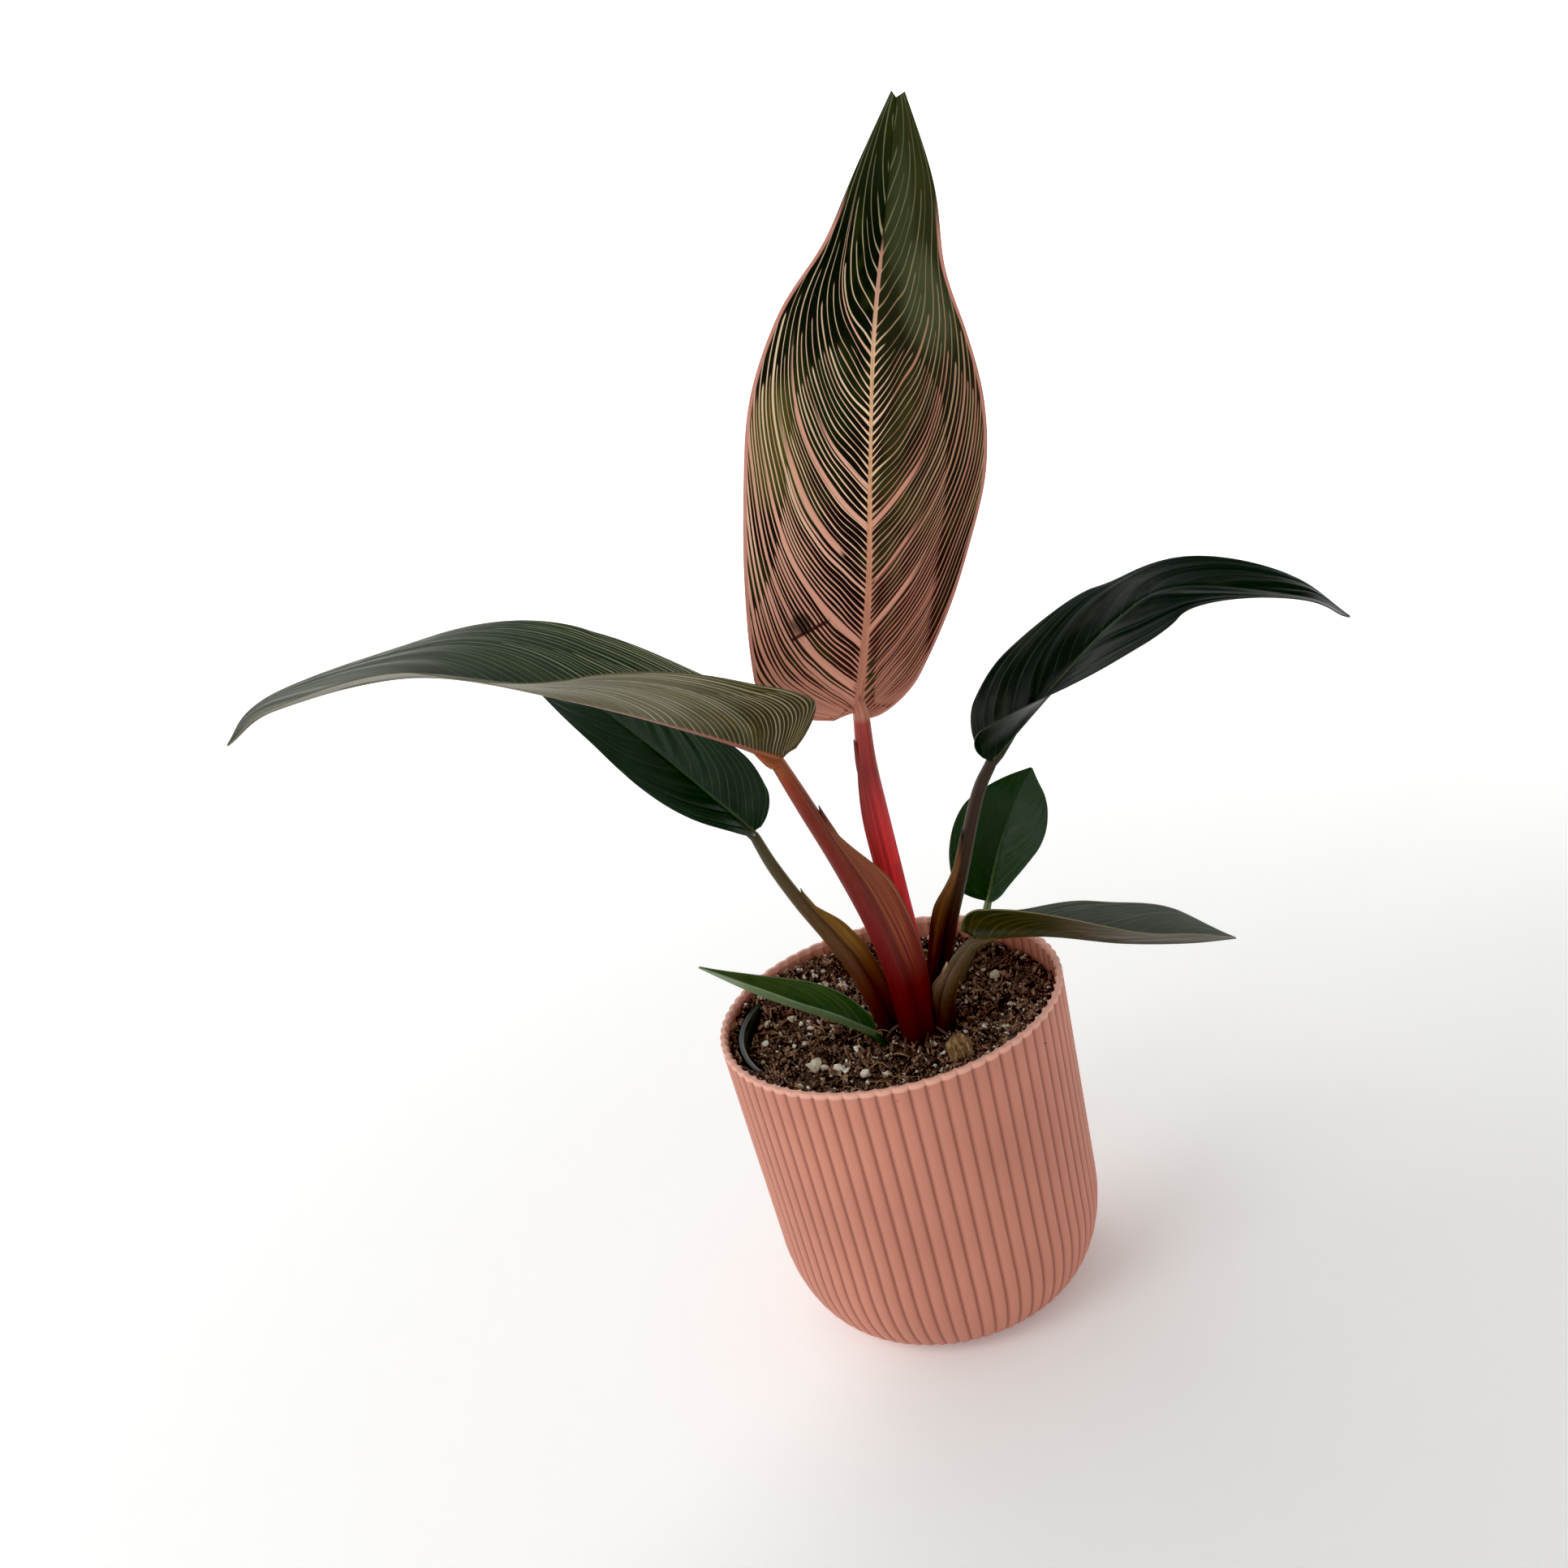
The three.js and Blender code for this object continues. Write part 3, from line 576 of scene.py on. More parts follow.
def soil_height(x, y):
    broad = np.sin(x * 0.31 + 1.3) * np.sin(y * 0.27 + 0.4) + 0.6 * np.sin(x * 0.83 + y * 0.41)
    broad = broad + 0.4 * np.sin(y * 0.97 - x * 0.52 + 2)
    fine = np.sin(x * 1.9 + 0.7 * y) * np.sin(y * 2.3 - 0.4 * x + 1) + 0.6 * np.sin(x * 3.7 - y * 3.1)
    return SOIL_TOP + SOIL_RELIEF * broad / 1.6 + SOIL_LUMPS * fine / 1.6


def soil_mesh():
    inset = NURSERY_WALL + FIT_GAP
    slope = (NURSERY_RIM_RADIUS - NURSERY_BASE_RADIUS) / NURSERY_HEIGHT
    points = [nursery_place @ Vector((0, 0, inset))]
    edges = []
    for k in range(SOIL_SIDES):
        angle = 2 * math.pi * k / SOIL_SIDES
        lean = math.cos(angle) * math.sin(NURSERY_TILT)
        top = (SOIL_TOP - nursery_lift + (NURSERY_BASE_RADIUS - inset) * lean)
        top /= math.cos(NURSERY_TILT) - slope * lean
        column = []
        for share in (0, 0.5, 1):
            height = inset + share * (top - inset)
            radius = nursery_radius(height) - inset
            upright = (radius * math.cos(angle), radius * math.sin(angle), height)
            column.append(nursery_place @ Vector(upright))
        edges.append(column)
    for level in range(3):
        points += [column[level] for column in edges]
    edge = np.array([column[2] for column in edges])
    centre = edge.mean(0)
    for k in range(1, SOIL_RINGS):
        ring = centre + (edge - centre) * (1 - k / SOIL_RINGS) ** 0.9
        ring[:, 2] = soil_height(ring[:, 0], ring[:, 1])
        points += list(ring)
    points.append(Vector((centre[0], centre[1], soil_height(centre[0], centre[1]))))
    faces = skin_faces(SOIL_RINGS + 2, SOIL_SIDES, 1, 0, len(points) - 1)
    return outward(new_mesh("soil", np.array([list(p) for p in points]), faces))


# Soil that was spilled over the nursery pot's rim fills the gap out to the cover pot, except at the
# left, where the rim is bare.
SPILL_SIDES = 220
SPILL_INSIDE = 47
SPILL_OVER = 62.2
SPILL_STEPS = 14
SPILL_BEND = 0.6
SPILL_LIFT = 1.0
SPILL_LOW = 2.4
SPILL_DEPTH = 3
BARE_MIDDLE = math.radians(177)
BARE_HALF = math.radians(17)
BARE_SOFTNESS = math.radians(14)


def spill_mesh():
    loops = []
    for k in range(SPILL_SIDES):
        angle = 2 * math.pi * k / SPILL_SIDES
        off = abs((angle - BARE_MIDDLE + math.pi) % (2 * math.pi) - math.pi)
        bare = min(1, max(0, (BARE_HALF + BARE_SOFTNESS - off) / BARE_SOFTNESS))
        way = Vector((math.cos(angle), math.sin(angle), 0))
        inside = nursery_place @ (way * SPILL_INSIDE + Vector((0, 0, NURSERY_HEIGHT)))
        over = nursery_place @ (way * SPILL_OVER + Vector((0, 0, NURSERY_HEIGHT)))
        crest = over.z + SPILL_LIFT - bare * SPILL_LOW
        wall = Vector((over.x, over.y, 0)).normalized() * (pot_radius(crest) - POT_WALL - 0.4)
        top = []
        for step in range(SPILL_STEPS + 1):
            share = step / SPILL_STEPS
            if share < SPILL_BEND:
                part = share / SPILL_BEND
                spot = inside.lerp(over, part)
                low = soil_height(spot.x, spot.y) - 1.2
                height = low + (crest - low) * part * part * (3 - 2 * part) * (1 - bare)
            else:
                part = (share - SPILL_BEND) / (1 - SPILL_BEND)
                spot = over.lerp(wall, part)
                height = crest - 1.5 * part * part + 0.9 * (soil_height(spot.x, spot.y) - SOIL_TOP)
            top.append((spot.x, spot.y, height))
        loops.append(top + [(x, y, z - SPILL_DEPTH) for x, y, z in reversed(top)])
    sides = len(loops[0])
    points = [point for loop in loops for point in loop]
    faces = []
    for k in range(SPILL_SIDES):
        following = (k + 1) % SPILL_SIDES
        for i in range(sides):
            j = (i + 1) % sides
            faces.append((k * sides + i, following * sides + i, following * sides + j, k * sides + j))
    return outward(new_mesh("spilled_soil", points, faces))


def joined(meshes, name):
    """One smooth mesh from several closed ones."""
    shape = bmesh.new()
    for mesh in meshes:
        shape.from_mesh(mesh)
    made = bpy.data.meshes.new(name)
    shape.to_mesh(made)
    shape.free()
    return smooth(made)


def along(values, t):
    """Values at even steps from base to tip, joined by a smooth curve; t runs from 0 to 1."""
    v = np.asarray(values, float)
    last = len(v) - 1
    place = np.clip(t, 0, 1) * last
    i = np.minimum(place.astype(int), last - 1)
    f = (place - i).reshape((-1,) + (1,) * (v.ndim - 1))
    start, end = v[i], v[i + 1]
    inner = (slice(None),) + (None,) * (v.ndim - 1)
    before = np.where((i > 0)[inner], v[np.maximum(i - 1, 0)], 2 * start - end)
    after = np.where((i < last - 1)[inner], v[np.minimum(i + 2, last)], 2 * end - start)
    return 0.5 * (2 * start + (end - before) * f + (2 * before - 5 * start + 4 * end - after) * f**2
                  + (3 * start - before - 3 * end + after) * f**3)


def unit(vectors):
    return vectors / np.linalg.norm(vectors, axis=-1, keepdims=True)


def direction(spine, t):
    return unit(along(spine, np.minimum(t + 0.001, 1)) - along(spine, np.maximum(t - 0.001, 0)))


def square_to(vectors, tangents):
    return unit(vectors - tangents * (vectors * tangents).sum(-1, keepdims=True))


ROD_FACING = (0.3, 0.2, 1.0)


def ovals(centre, tangent, facing, angles, deep, wide):
    """Rings of points square to a line, with half their depth the way they face and half their width
    across it."""
    front = square_to(np.array([facing] * len(centre), float), tangent)
    sideways = np.cross(tangent, front)
    return (centre[:, None] + front[:, None] * (np.cos(angles) * deep)[..., None]
            + sideways[:, None] * (np.sin(angles) * wide)[..., None])


def rod(spine, radii, sides=12, count=24, knots=0.0):
    """A round piece of changing thickness along a smooth line."""
    steps = np.linspace(0, 1, count)
    angles = 2 * np.pi * np.arange(sides) / sides
    radius = along(radii, steps)[:, None] * (1 + knots * np.sin(steps[:, None] * 40 + 2 * np.cos(angles)))
    return tube(ovals(along(spine, steps), direction(spine, steps), ROD_FACING, angles, radius, radius))


def together(parts):
    """Points and faces of several skins in one list."""
    points, faces = [], []
    for part_points, part_faces in parts:
        faces += [tuple(corner + len(points) for corner in face) for face in part_faces]
        points += [list(point) for point in part_points]
    return points, faces


def soil_finish(name, dark, light, speck, coarse):
    finish = Finish(name, Roughness=0.9, Specular_IOR_Level=0.3)
    place = finish.surface()
    lumps = finish.noise(place, coarse, 4, 0.6)
    bits = finish.noise(place, coarse * 5, 3)
    colour = finish.mix(finish.rise(lumps, 0.42, 0.6), dark, light)
    colour = finish.mix(finish.rise(bits, 0.6, 0.68) * 0.8, colour, speck)
    finish.set(Base_Color=colour)
    finish.relief(bits, 0.4)
    return finish.material


def scattered_shape():
    """Rough grains on every top face; Size is the span of a grain and Form its three proportions."""
    inputs = {"Density": "Float", "Clumps": "Float", "Seed": "Int", "Smallest": "Float", "Largest": "Float"}
    inputs.update({"Form": "Vector", "Facets": "Int", "Sink": "Float", "Roughen": "Float"})
    shape, start = new_shape("scattered", inputs)
    _, _, up = shape.parts(shape.node("GeometryNodeInputNormal"))
    place = shape.node("GeometryNodeInputPosition")
    clump = shape.rise(shape.noise(place, 70, 1), 0.46, 0.6) * 2
    thick = start.out("Density") * (1 - start.out("Clumps") + start.out("Clumps") * clump)
    seed = start.out("Seed")
    spread = {"Mesh": start.out("Geometry"), "Selection": up > 0.3, "Density": thick, "Seed": seed}
    points = shape.node("GeometryNodeDistributePointsOnFaces", None, spread, "Points")
    ball = {"Radius": 0.5, "Subdivisions": start.out("Facets")}
    grain = shape.node("GeometryNodeMeshIcoSphere", None, ball)
    ragged = shape.node("ShaderNodeTexNoise", None, {"Vector": place, "Scale": 2.3, "Detail": 1.0}, "Color")
    push = start.out("Roughen")
    moved = shape.node("ShaderNodeVectorMath", {"operation": "MULTIPLY_ADD"}, {
        "Vector": ragged, "Vector_001": push, "Vector_002": push * -0.5}, "Vector")
    rough = shape.node("GeometryNodeSetPosition", None, {"Geometry": grain, "Offset": moved})
    turn = {"Min": (-3.14, -3.14, -3.14), "Max": (3.14, 3.14, 3.14), "Seed": seed}
    turned_by = shape.node("FunctionNodeRandomValue", {"data_type": "FLOAT_VECTOR"}, turn)
    span = {"Min": 0.0, "Max": 1.0, "Seed": seed + 1}
    share = shape.node("FunctionNodeRandomValue", {"data_type": "FLOAT"}, span) ** 2.2
    size = start.out("Smallest") + share * (start.out("Largest") - start.out("Smallest"))
    sunk = shape.node("GeometryNodeSetPosition", None, {
        "Geometry": points, "Offset": shape.point(0, 0, size * start.out("Sink"))})
    scaled = shape.node("ShaderNodeVectorMath", {"operation": "SCALE"}, {
        "Vector": start.out("Form"), "Scale": size})
    placed = shape.node("GeometryNodeInstanceOnPoints", None, {
        "Points": sunk, "Instance": rough, "Rotation": turned_by, "Scale": scaled})
    finish_shape(shape, placed)
    return shape


GRAINS = {
    "peat_crumbs": dict(Density=3e5, Clumps=0.3, Seed=3, Smallest=0.8, Largest=3.4, Form=(1, 0.8, 0.6),
                        Facets=1, Sink=0.1, Roughen=0.6),
    "bark_bits": dict(Density=1.8e5, Clumps=0.5, Seed=8, Smallest=1.0, Largest=6.5, Form=(1, 0.3, 0.2),
                      Facets=1, Sink=0.2, Roughen=0.4),
    "perlite": dict(Density=6.5e4, Clumps=0.8, Seed=5, Smallest=0.5, Largest=2.8, Form=(1, 0.8, 0.7),
                    Facets=2, Sink=0.15, Roughen=0.8),
}
LUMPS = [(-36, -20, 6.4), (-32, -23, 3), (-27, -27, 4.6), (-23.5, -29, 3.6), (-16.8, -34, 4.6),
         (-8.7, -38, 2.8),
         (-50, 30, 4), (-52, 26, 5), (-24.6, 47, 3.4), (-17, 43, 4.4), (-20, 55, 4), (-17, -14, 3.6),
         (-41, 24, 3.6), (-54, 9.5, 3.2), (46, 16, 4.6), (47, -9, 2.4), (42, -26, 3), (-38, 1, 2.2)]
LUMP_ROUGHNESS = 0.24
FIBRES = 70
FIBRE_SEED = 11
FIBRE_REACH = 54
FIBRE_LENGTH = (5, 13)
FIBRE_BEND = 3
FIBRE_RADII = (0.22, 0.28, 0.12)
FIBRE_LIFTS = (0.6, 2.0, 0.2)


def lump_mesh(x, y, size):
    """One larger grain of perlite, pitted and uneven."""
    shape = bmesh.new()
    bmesh.ops.create_icosphere(shape, subdivisions=3, radius=0.5)
    start = Vector((x, y, 0))
    for corner in shape.verts:
        pits = noise.noise(corner.co * 2.2 + start) + 0.5 * noise.noise(corner.co * 6 + start)
        corner.co *= size * (1 + LUMP_ROUGHNESS * pits * 2) * MM
        corner.co.z *= 0.8
    made = bpy.data.meshes.new("lump")
    shape.to_mesh(made)
    shape.free()
    made.transform(Matrix.Translation(Vector((x, y, soil_height(x, y) + 0.28 * size)) * MM))
    return made


def fibre_mesh():
    """Thin pale root fibres that lie loose on the soil."""
    chance = np.random.default_rng(FIBRE_SEED)
    skins = []
    for _ in range(FIBRES):
        radius = FIBRE_REACH * math.sqrt(chance.random())
        angle = 2 * math.pi * chance.random()
        middle = np.array([NURSERY_SHIFT + radius * math.cos(angle), radius * math.sin(angle)])
        turn = 2 * math.pi * chance.random()
        way = np.array([math.cos(turn), math.sin(turn)])
        bow = np.array([-way[1], way[0]]) * FIBRE_BEND * (chance.random() - 0.5)
        half = way * chance.uniform(*FIBRE_LENGTH) / 2
        track = [middle - half, middle + bow, middle + half]
        spine = [[*spot, soil_height(*spot) + up] for spot, up in zip(track, FIBRE_LIFTS)]
        skins.append(rod(spine, FIBRE_RADII, 5, 8))
    return outward(new_mesh("root_fibres", *together(skins)))


soil = soil_mesh()
spill = spill_mesh()
ground = joined([soil, spill], "ground")
grain_shape = scattered_shape()
peat = soil_finish("peat", (28, 19, 17), (82, 60, 50), (176, 144, 120), 260)
crumb = soil_finish("peat_crumb", (30, 20, 18), (124, 94, 78), (214, 182, 152), 240)
bark = soil_finish("bark_bit", (60, 38, 30), (164, 126, 102), (224, 196, 166), 210)
fibre = soil_finish("root_fibre", (120, 88, 60), (170, 134, 98), (206, 178, 140), 210)
perlite = soil_finish("perlite_grain", (206, 190, 164), (250, 244, 232), (168, 144, 116), 230)
for grain_name, grain_paint in (("peat_crumbs", crumb), ("bark_bits", bark), ("perlite", perlite)):
    settings = dict(GRAINS[grain_name])
    for length in ("Smallest", "Largest"):
        settings[length] *= MM
    grains = grown(grain_name, ground.copy(), grain_shape, settings)
    if grain_name == "perlite":
        grains = joined([grains] + [lump_mesh(*lump) for lump in LUMPS], grain_name)
    new_piece(grain_name, smooth(grains, grain_name == "perlite"), grain_paint, "soil")
new_piece("root_fibres", fibre_mesh(), fibre, "soil")
new_piece("spilled_soil", spill, peat, "soil")
new_piece("potting_soil", soil, peat, "soil", ["soil"])


# Leaves: each grows from the crown on its own stalk, and the stalk runs on under the blade as its
# midrib. Spines, widths and folds are those of the solids, in millimetres and degrees.
LEAVES = {
    "centre": dict(
        stalk=[[8, 0, 112], [10.5, 0, 124], [13.2, -1, 150], [13.4, 0, 180], [13.4, 1, 212],
               [13.8, 3, 234], [16, 4, 253.5]],
        wide=[4.4, 4.8, 4.9, 4.7, 4.4, 4.1, 3.7], deep=[4, 4.4, 4.5, 4.2, 4, 3.7, 3],
        sheath_side=[-0.9, -0.4, 0], sheath=[1, 2, 3.4, 4.4], ear=0.9,
        spine=[[15, 4, 254.5], [29, 5, 298], [40, 4, 344], [52, 8, 389], [65, 18, 424], [82, 35, 468]],
        left=[41, 46.8, 48.7, 47.5, 44.6, 35.2, 22.5, 13, 2],
        right=[20, 31.5, 40.5, 45.5, 43.6, 34.9, 23.6, 16.6, 3],
        face=[[0.2, -1, 0], [0.05, -1, 0.05], [0, -1, 0.25]],
        fold_left=[10, 8, 0, 3], fold_right=[-12, -3, -2, 5], sunk=0.9,
        curl_left=[0, -8, -6, 0], curl_right=[-6, -10, -7, 0], lobe=3, wave=0.8, notch=2.4),
    "upper_left": dict(
        stalk=[[7, -16, 110], [6, -17, 127], [5, -18, 152], [1, -20, 178], [-6, -21, 206],
               [-14.3, -23, 234], [-20, -24.2, 253.2]],
        wide=[6.2, 6.4, 6, 5, 4.4, 4, 3.6], deep=[5, 5.2, 4.8, 4.2, 3.8, 3.4, 2.8],
        sheath_side=[0.9, -0.1, 0.4], sheath=[1.5, 4.2, 8.6, 9.6, 5.5], ear=0.79,
        spine=[[-19, -24, 254], [-39, -31, 271], [-82, -36, 298], [-134, -33, 320.6], [-184, -36, 322.6],
               [-204, -40, 315]],
        left=[29, 31, 31, 26, 20.5, 12, 0.6], right=[24, 27, 30.5, 30.4, 23.8, 13.5, 0.8],
        face=[[0.29, 0.1, 0.95], [-0.45, -0.18, 0.88], [0, -0.1, 1]],
        fold_left=[53, 50, 27, 18], fold_right=[38, 37, 5, 13],
        curl_left=[8, 0, 0, 0], curl_right=[-12, -14, -15, 0], lobe=3, wave=0.5),
    "lower_left": dict(
        stalk=[[-3, -2, 110], [-4, -1, 127], [-10, 1, 151], [-17, 4, 166], [-25, 6, 182], [-32, 9, 199],
               [-36, 12, 212]],
        wide=[3.8, 4.3, 4.2, 3.6, 2.9, 2.6, 2.3], deep=[3.6, 3.8, 3.8, 3.3, 2.8, 2.5, 2.1],
        sheath_side=[0.8, 0, 0.6], sheath=[1.5, 4.2, 5, 3.4], ear=0.69,
        spine=[[-36, 12, 214], [-51, 17, 235], [-68, 27, 256], [-87, 38, 276], [-108, 50, 286]],
        left=[13, 18, 17.8, 15, 11, 0.6], right=[15.5, 21, 19.5, 17, 10, 0.6],
        face=[[-0.05, -0.15, 1], [-0.25, -0.6, 0.78], [-0.34, -0.43, 0.84]],
        fold_left=[34, 21, 6], fold_right=[23, 19, 8], curl_left=[0, -3, 0], curl_right=[0, -4, 0],
        lobe=1, wave=0.5),
    "right": dict(
        stalk=[[17, 8, 110], [20, 7.5, 125], [26, 6, 144], [32.5, 4, 162], [39.5, 2, 178],
               [52.4, 1, 209], [60.6, 0, 222]],
        wide=[3.8, 4.1, 4.2, 3.9, 3.3, 2.8, 2.4], deep=[3.6, 3.8, 3.8, 3.6, 3, 2.6, 2.2],
        sheath_side=[-0.9, -0.4, 0.2], sheath=[1.2, 3, 5.6, 6.8], ear=0.75,
        spine=[[61, 0, 223.5], [87, -4, 245.5], [118, -6, 268], [143, -5, 273.6], [185, -11, 260.5],
               [204.6, -8, 246.3]],
        left=[16.5, 27.5, 26.5, 23.6, 20, 11, 0.6], right=[15.5, 18.8, 21.8, 21.5, 13.5, 8, 0.6],
        face=[[-0.3, -0.45, 0.84], [-0.35, -0.35, 0.87], [-0.1, -0.25, 0.96], [0.33, -0.3, 0.9]],
        fold_left=[25, 8, -6, 7, 7], fold_right=[88, 40, 0, -2, 14, -10],
        curl_left=[0, 0, 0, 0], curl_right=[20, 5, 10, 5], lobe=1, wave=0.5),
    "back_right": dict(
        stalk=[[27, 12, 110], [29, 16, 118], [33, 22, 124], [39, 29, 129], [48, 37, 137], [51.5, 39, 144]],
        wide=[2.6, 2.6, 2.4, 2.2, 1.9, 1.7], deep=[2.4, 2.4, 2.2, 2, 1.8, 1.6],
        sheath_side=[-0.6, -0.6, 0.5], sheath=[0.6, 1.2, 1], ear=0.6,
        spine=[[52, 39, 146], [63, 47, 166], [75, 52, 184], [85, 61, 191.5]],
        left=[14.5, 20.6, 20, 9, 0.6], right=[8, 16.6, 18.2, 11.4, 0.6],
        face=[[-0.4, -0.8, 0.43], [-0.1, -0.86, 0.5], [0.14, -0.77, 0.62]],
        fold_left=[15, 11, 8], fold_right=[45, 23, 5], curl_left=[0, -5, 0], curl_right=[0, -3, 0],
        lobe=0, wave=0.4),
    "lower_right": dict(
        stalk=[[17, -12, 108], [19, -15, 122], [22, -18, 138], [28, -21, 151], [36, -23, 160]],
        wide=[4.6, 4.8, 4.4, 3.6, 2.8], deep=[4, 4.2, 3.8, 3.2, 2.4],
        sheath_side=[-0.8, 0.1, 0.6], sheath=[1.5, 3, 3.4], ear=0.74,
        spine=[[38, -23, 162.5], [63, -28, 159], [91, -31, 149], [116, -32, 142], [136, -30, 137]],
        left=[12.5, 10.6, 15.2, 15.9, 12.6, 0.6], right=[15.5, 17, 16, 16, 9.5, 0.6],
        face=[[0.18, 0.1, 0.97], [0.1, -0.24, 0.96], [0.26, -0.1, 0.96]],
        fold_left=[33, 36, 14], fold_right=[62, 53, 48], curl_left=[0, -4, 0], curl_right=[0, 0, 0],
        lobe=6, wave=0.4),
    "front_left": dict(
        stalk=[[0, -12, 109], [-4, -15, 118], [-8.6, -16, 126.5]],
        wide=[1.8, 1.8, 1.5], deep=[1.7, 1.7, 1.3], sheath_side=[0.7, 0, 0.7], sheath=[0, 0], ear=0.6,
        spine=[[-9.5, -16, 128], [-27, -17, 142], [-49, -15, 157], [-70, -12, 174]],
        left=[6, 9.3, 9.6, 8, 0.6], right=[6, 11.5, 11.5, 7, 0.6],
        face=[[0.4, -0.46, 0.79], [0.43, -0.41, 0.8], [0.48, -0.25, 0.84]],
        fold_left=[63, 61, 54], fold_right=[21, 20, 8], curl_left=[0, 0, 0], curl_right=[0, 0, 0],
        lobe=0, wave=0.2),
}
BASE_ROUNDING = 0.07
BASE_WIDTH = 0.25
MARGIN_WAVES = 3
NOTCH_SHARPNESS = 80


# Stalks: fleshy, satin leaf stalks that clasp each other at the crown. Each has a thin sheath along
# one side that runs out in a small pointed ear, and each runs on under its blade as the midrib.
STALK_SIDES = 56
STALK_RINGS = 110
SHEATH_END = 0.3
EAR_SPLAY = 0.6
GROOVE_DEPTH = 0.35
GROOVE_PLACE = 0.75
GROOVE_WIDTH = 0.16
RUN_UNDER = (0.02, 0.1)
UNDER_RINGS = 12
THIN_UNDER = (0.9, 0.2)
SUNK = 0.55
RIB_COVER = 0.3
SEAM = math.cos(GROOVE_PLACE)

STALK_LOOKS = {
    "centre": dict(
        slot="petiole_centre", shade=0.45, seam=0.6, streak=(104, 20, 26), ear=(96, 36, 30),
        skin=[(0, 76, 14, 14), (0.12, 112, 16, 18), (0.4, 236, 44, 50), (0.62, 214, 54, 54),
              (0.8, 150, 48, 46), (0.93, 156, 58, 50), (1, 168, 70, 58)], top=(194, 128, 106),
        wing=[(0, 100, 18, 18), (0.5, 150, 44, 44), (0.85, 112, 46, 38)]),
    "upper_left": dict(
        slot="petiole_upper_left", shade=0.6, seam=0.5, streak=(76, 18, 14), ear=(70, 34, 30),
        skin=[(0, 44, 14, 13), (0.15, 66, 16, 15), (0.3, 92, 16, 16), (0.5, 112, 20, 20), (0.65, 112, 30, 18),
              (0.8, 116, 36, 18), (0.92, 136, 50, 24), (1, 150, 80, 40)], fleck=(160, 106, 60),
        wing=[(0, 70, 16, 16), (0.3, 96, 22, 20), (0.45, 124, 50, 34), (0.6, 126, 68, 40),
              (0.8, 128, 80, 46)]),
    "lower_left": dict(
        slot="petiole_lower_left", shade=0.6, seam=0.8, streak=(66, 38, 22), ear=(92, 76, 46),
        skin=[(0, 52, 22, 18), (0.25, 88, 40, 24), (0.5, 96, 64, 34), (0.75, 78, 66, 36),
              (1, 60, 60, 34)], fleck=(150, 120, 56),
        wing=[(0, 70, 34, 22), (0.3, 108, 62, 28), (0.45, 138, 96, 34), (0.7, 140, 106, 38)]),
    "right": dict(
        slot="petiole_right", shade=0.6, seam=0.6, streak=(34, 20, 12), ear=(52, 42, 36),
        skin=[(0, 64, 18, 14), (0.3, 62, 32, 18), (0.6, 60, 40, 22), (1, 52, 40, 24)],
        wing=[(0, 84, 34, 22), (0.45, 124, 76, 40), (0.75, 128, 86, 42)]),
    "back_right": dict(
        slot="petiole_green", shade=0.4, seam=0.3, streak=(66, 84, 48), ear=(110, 118, 84),
        skin=[(0, 70, 44, 34), (0.5, 92, 68, 50), (0.8, 100, 100, 64), (1, 124, 140, 96)],
        wing=[(0, 96, 66, 52), (1, 120, 110, 80)]),
    "lower_right": dict(
        slot="petiole_lower_right", shade=0.6, seam=0.6, streak=(46, 28, 20), ear=(160, 138, 110),
        skin=[(0, 34, 18, 16), (0.25, 50, 28, 20), (0.45, 70, 46, 32), (0.7, 92, 70, 46), (1, 88, 72, 44)],
        wing=[(0, 46, 26, 22), (0.4, 74, 50, 36), (0.7, 110, 86, 60), (1, 130, 108, 80)]),
    "front_left": dict(
        slot="petiole_green", shade=0.4, seam=0.3, streak=(50, 70, 34), ear=(80, 96, 56),
        skin=[(0, 40, 26, 20), (0.6, 44, 40, 24), (1, 44, 66, 32)], wing=[(0, 60, 44, 30), (1, 84, 116, 60)]),
}


def keep_values(mesh, name, values, kind="FLOAT_VECTOR"):
    """Stores one value for each point, which the material reads."""
    attribute = mesh.attributes.new(name, kind, "POINT")
    key = "vector" if kind == "FLOAT_VECTOR" else "value"
    attribute.data.foreach_set(key, np.asarray(values, np.float32).ravel())


def ear_skin(leaf, size):
    """The free tip of the sheath: a small point that leans away from the stalk."""
    ear = leaf["ear"]
    steps = ear + np.array([-0.16, -0.08, -0.01, 0.02])
    tangent = direction(leaf["stalk"], steps)
    front = square_to(np.array([leaf["sheath_side"]] * 4, float), tangent)
    lean = along(leaf["deep"], steps) * np.array([0.75, 0.95, 1.0, 1.1])
    spine = along(leaf["stalk"], steps) + front * (lean + EAR_SPLAY * np.array([0, 0.1, 0.5, 1.2]))[:, None]
    return rod(spine.tolist(), [1.5 * size, 1.5 * size, 1.0 * size, 0.15], 16, 20)


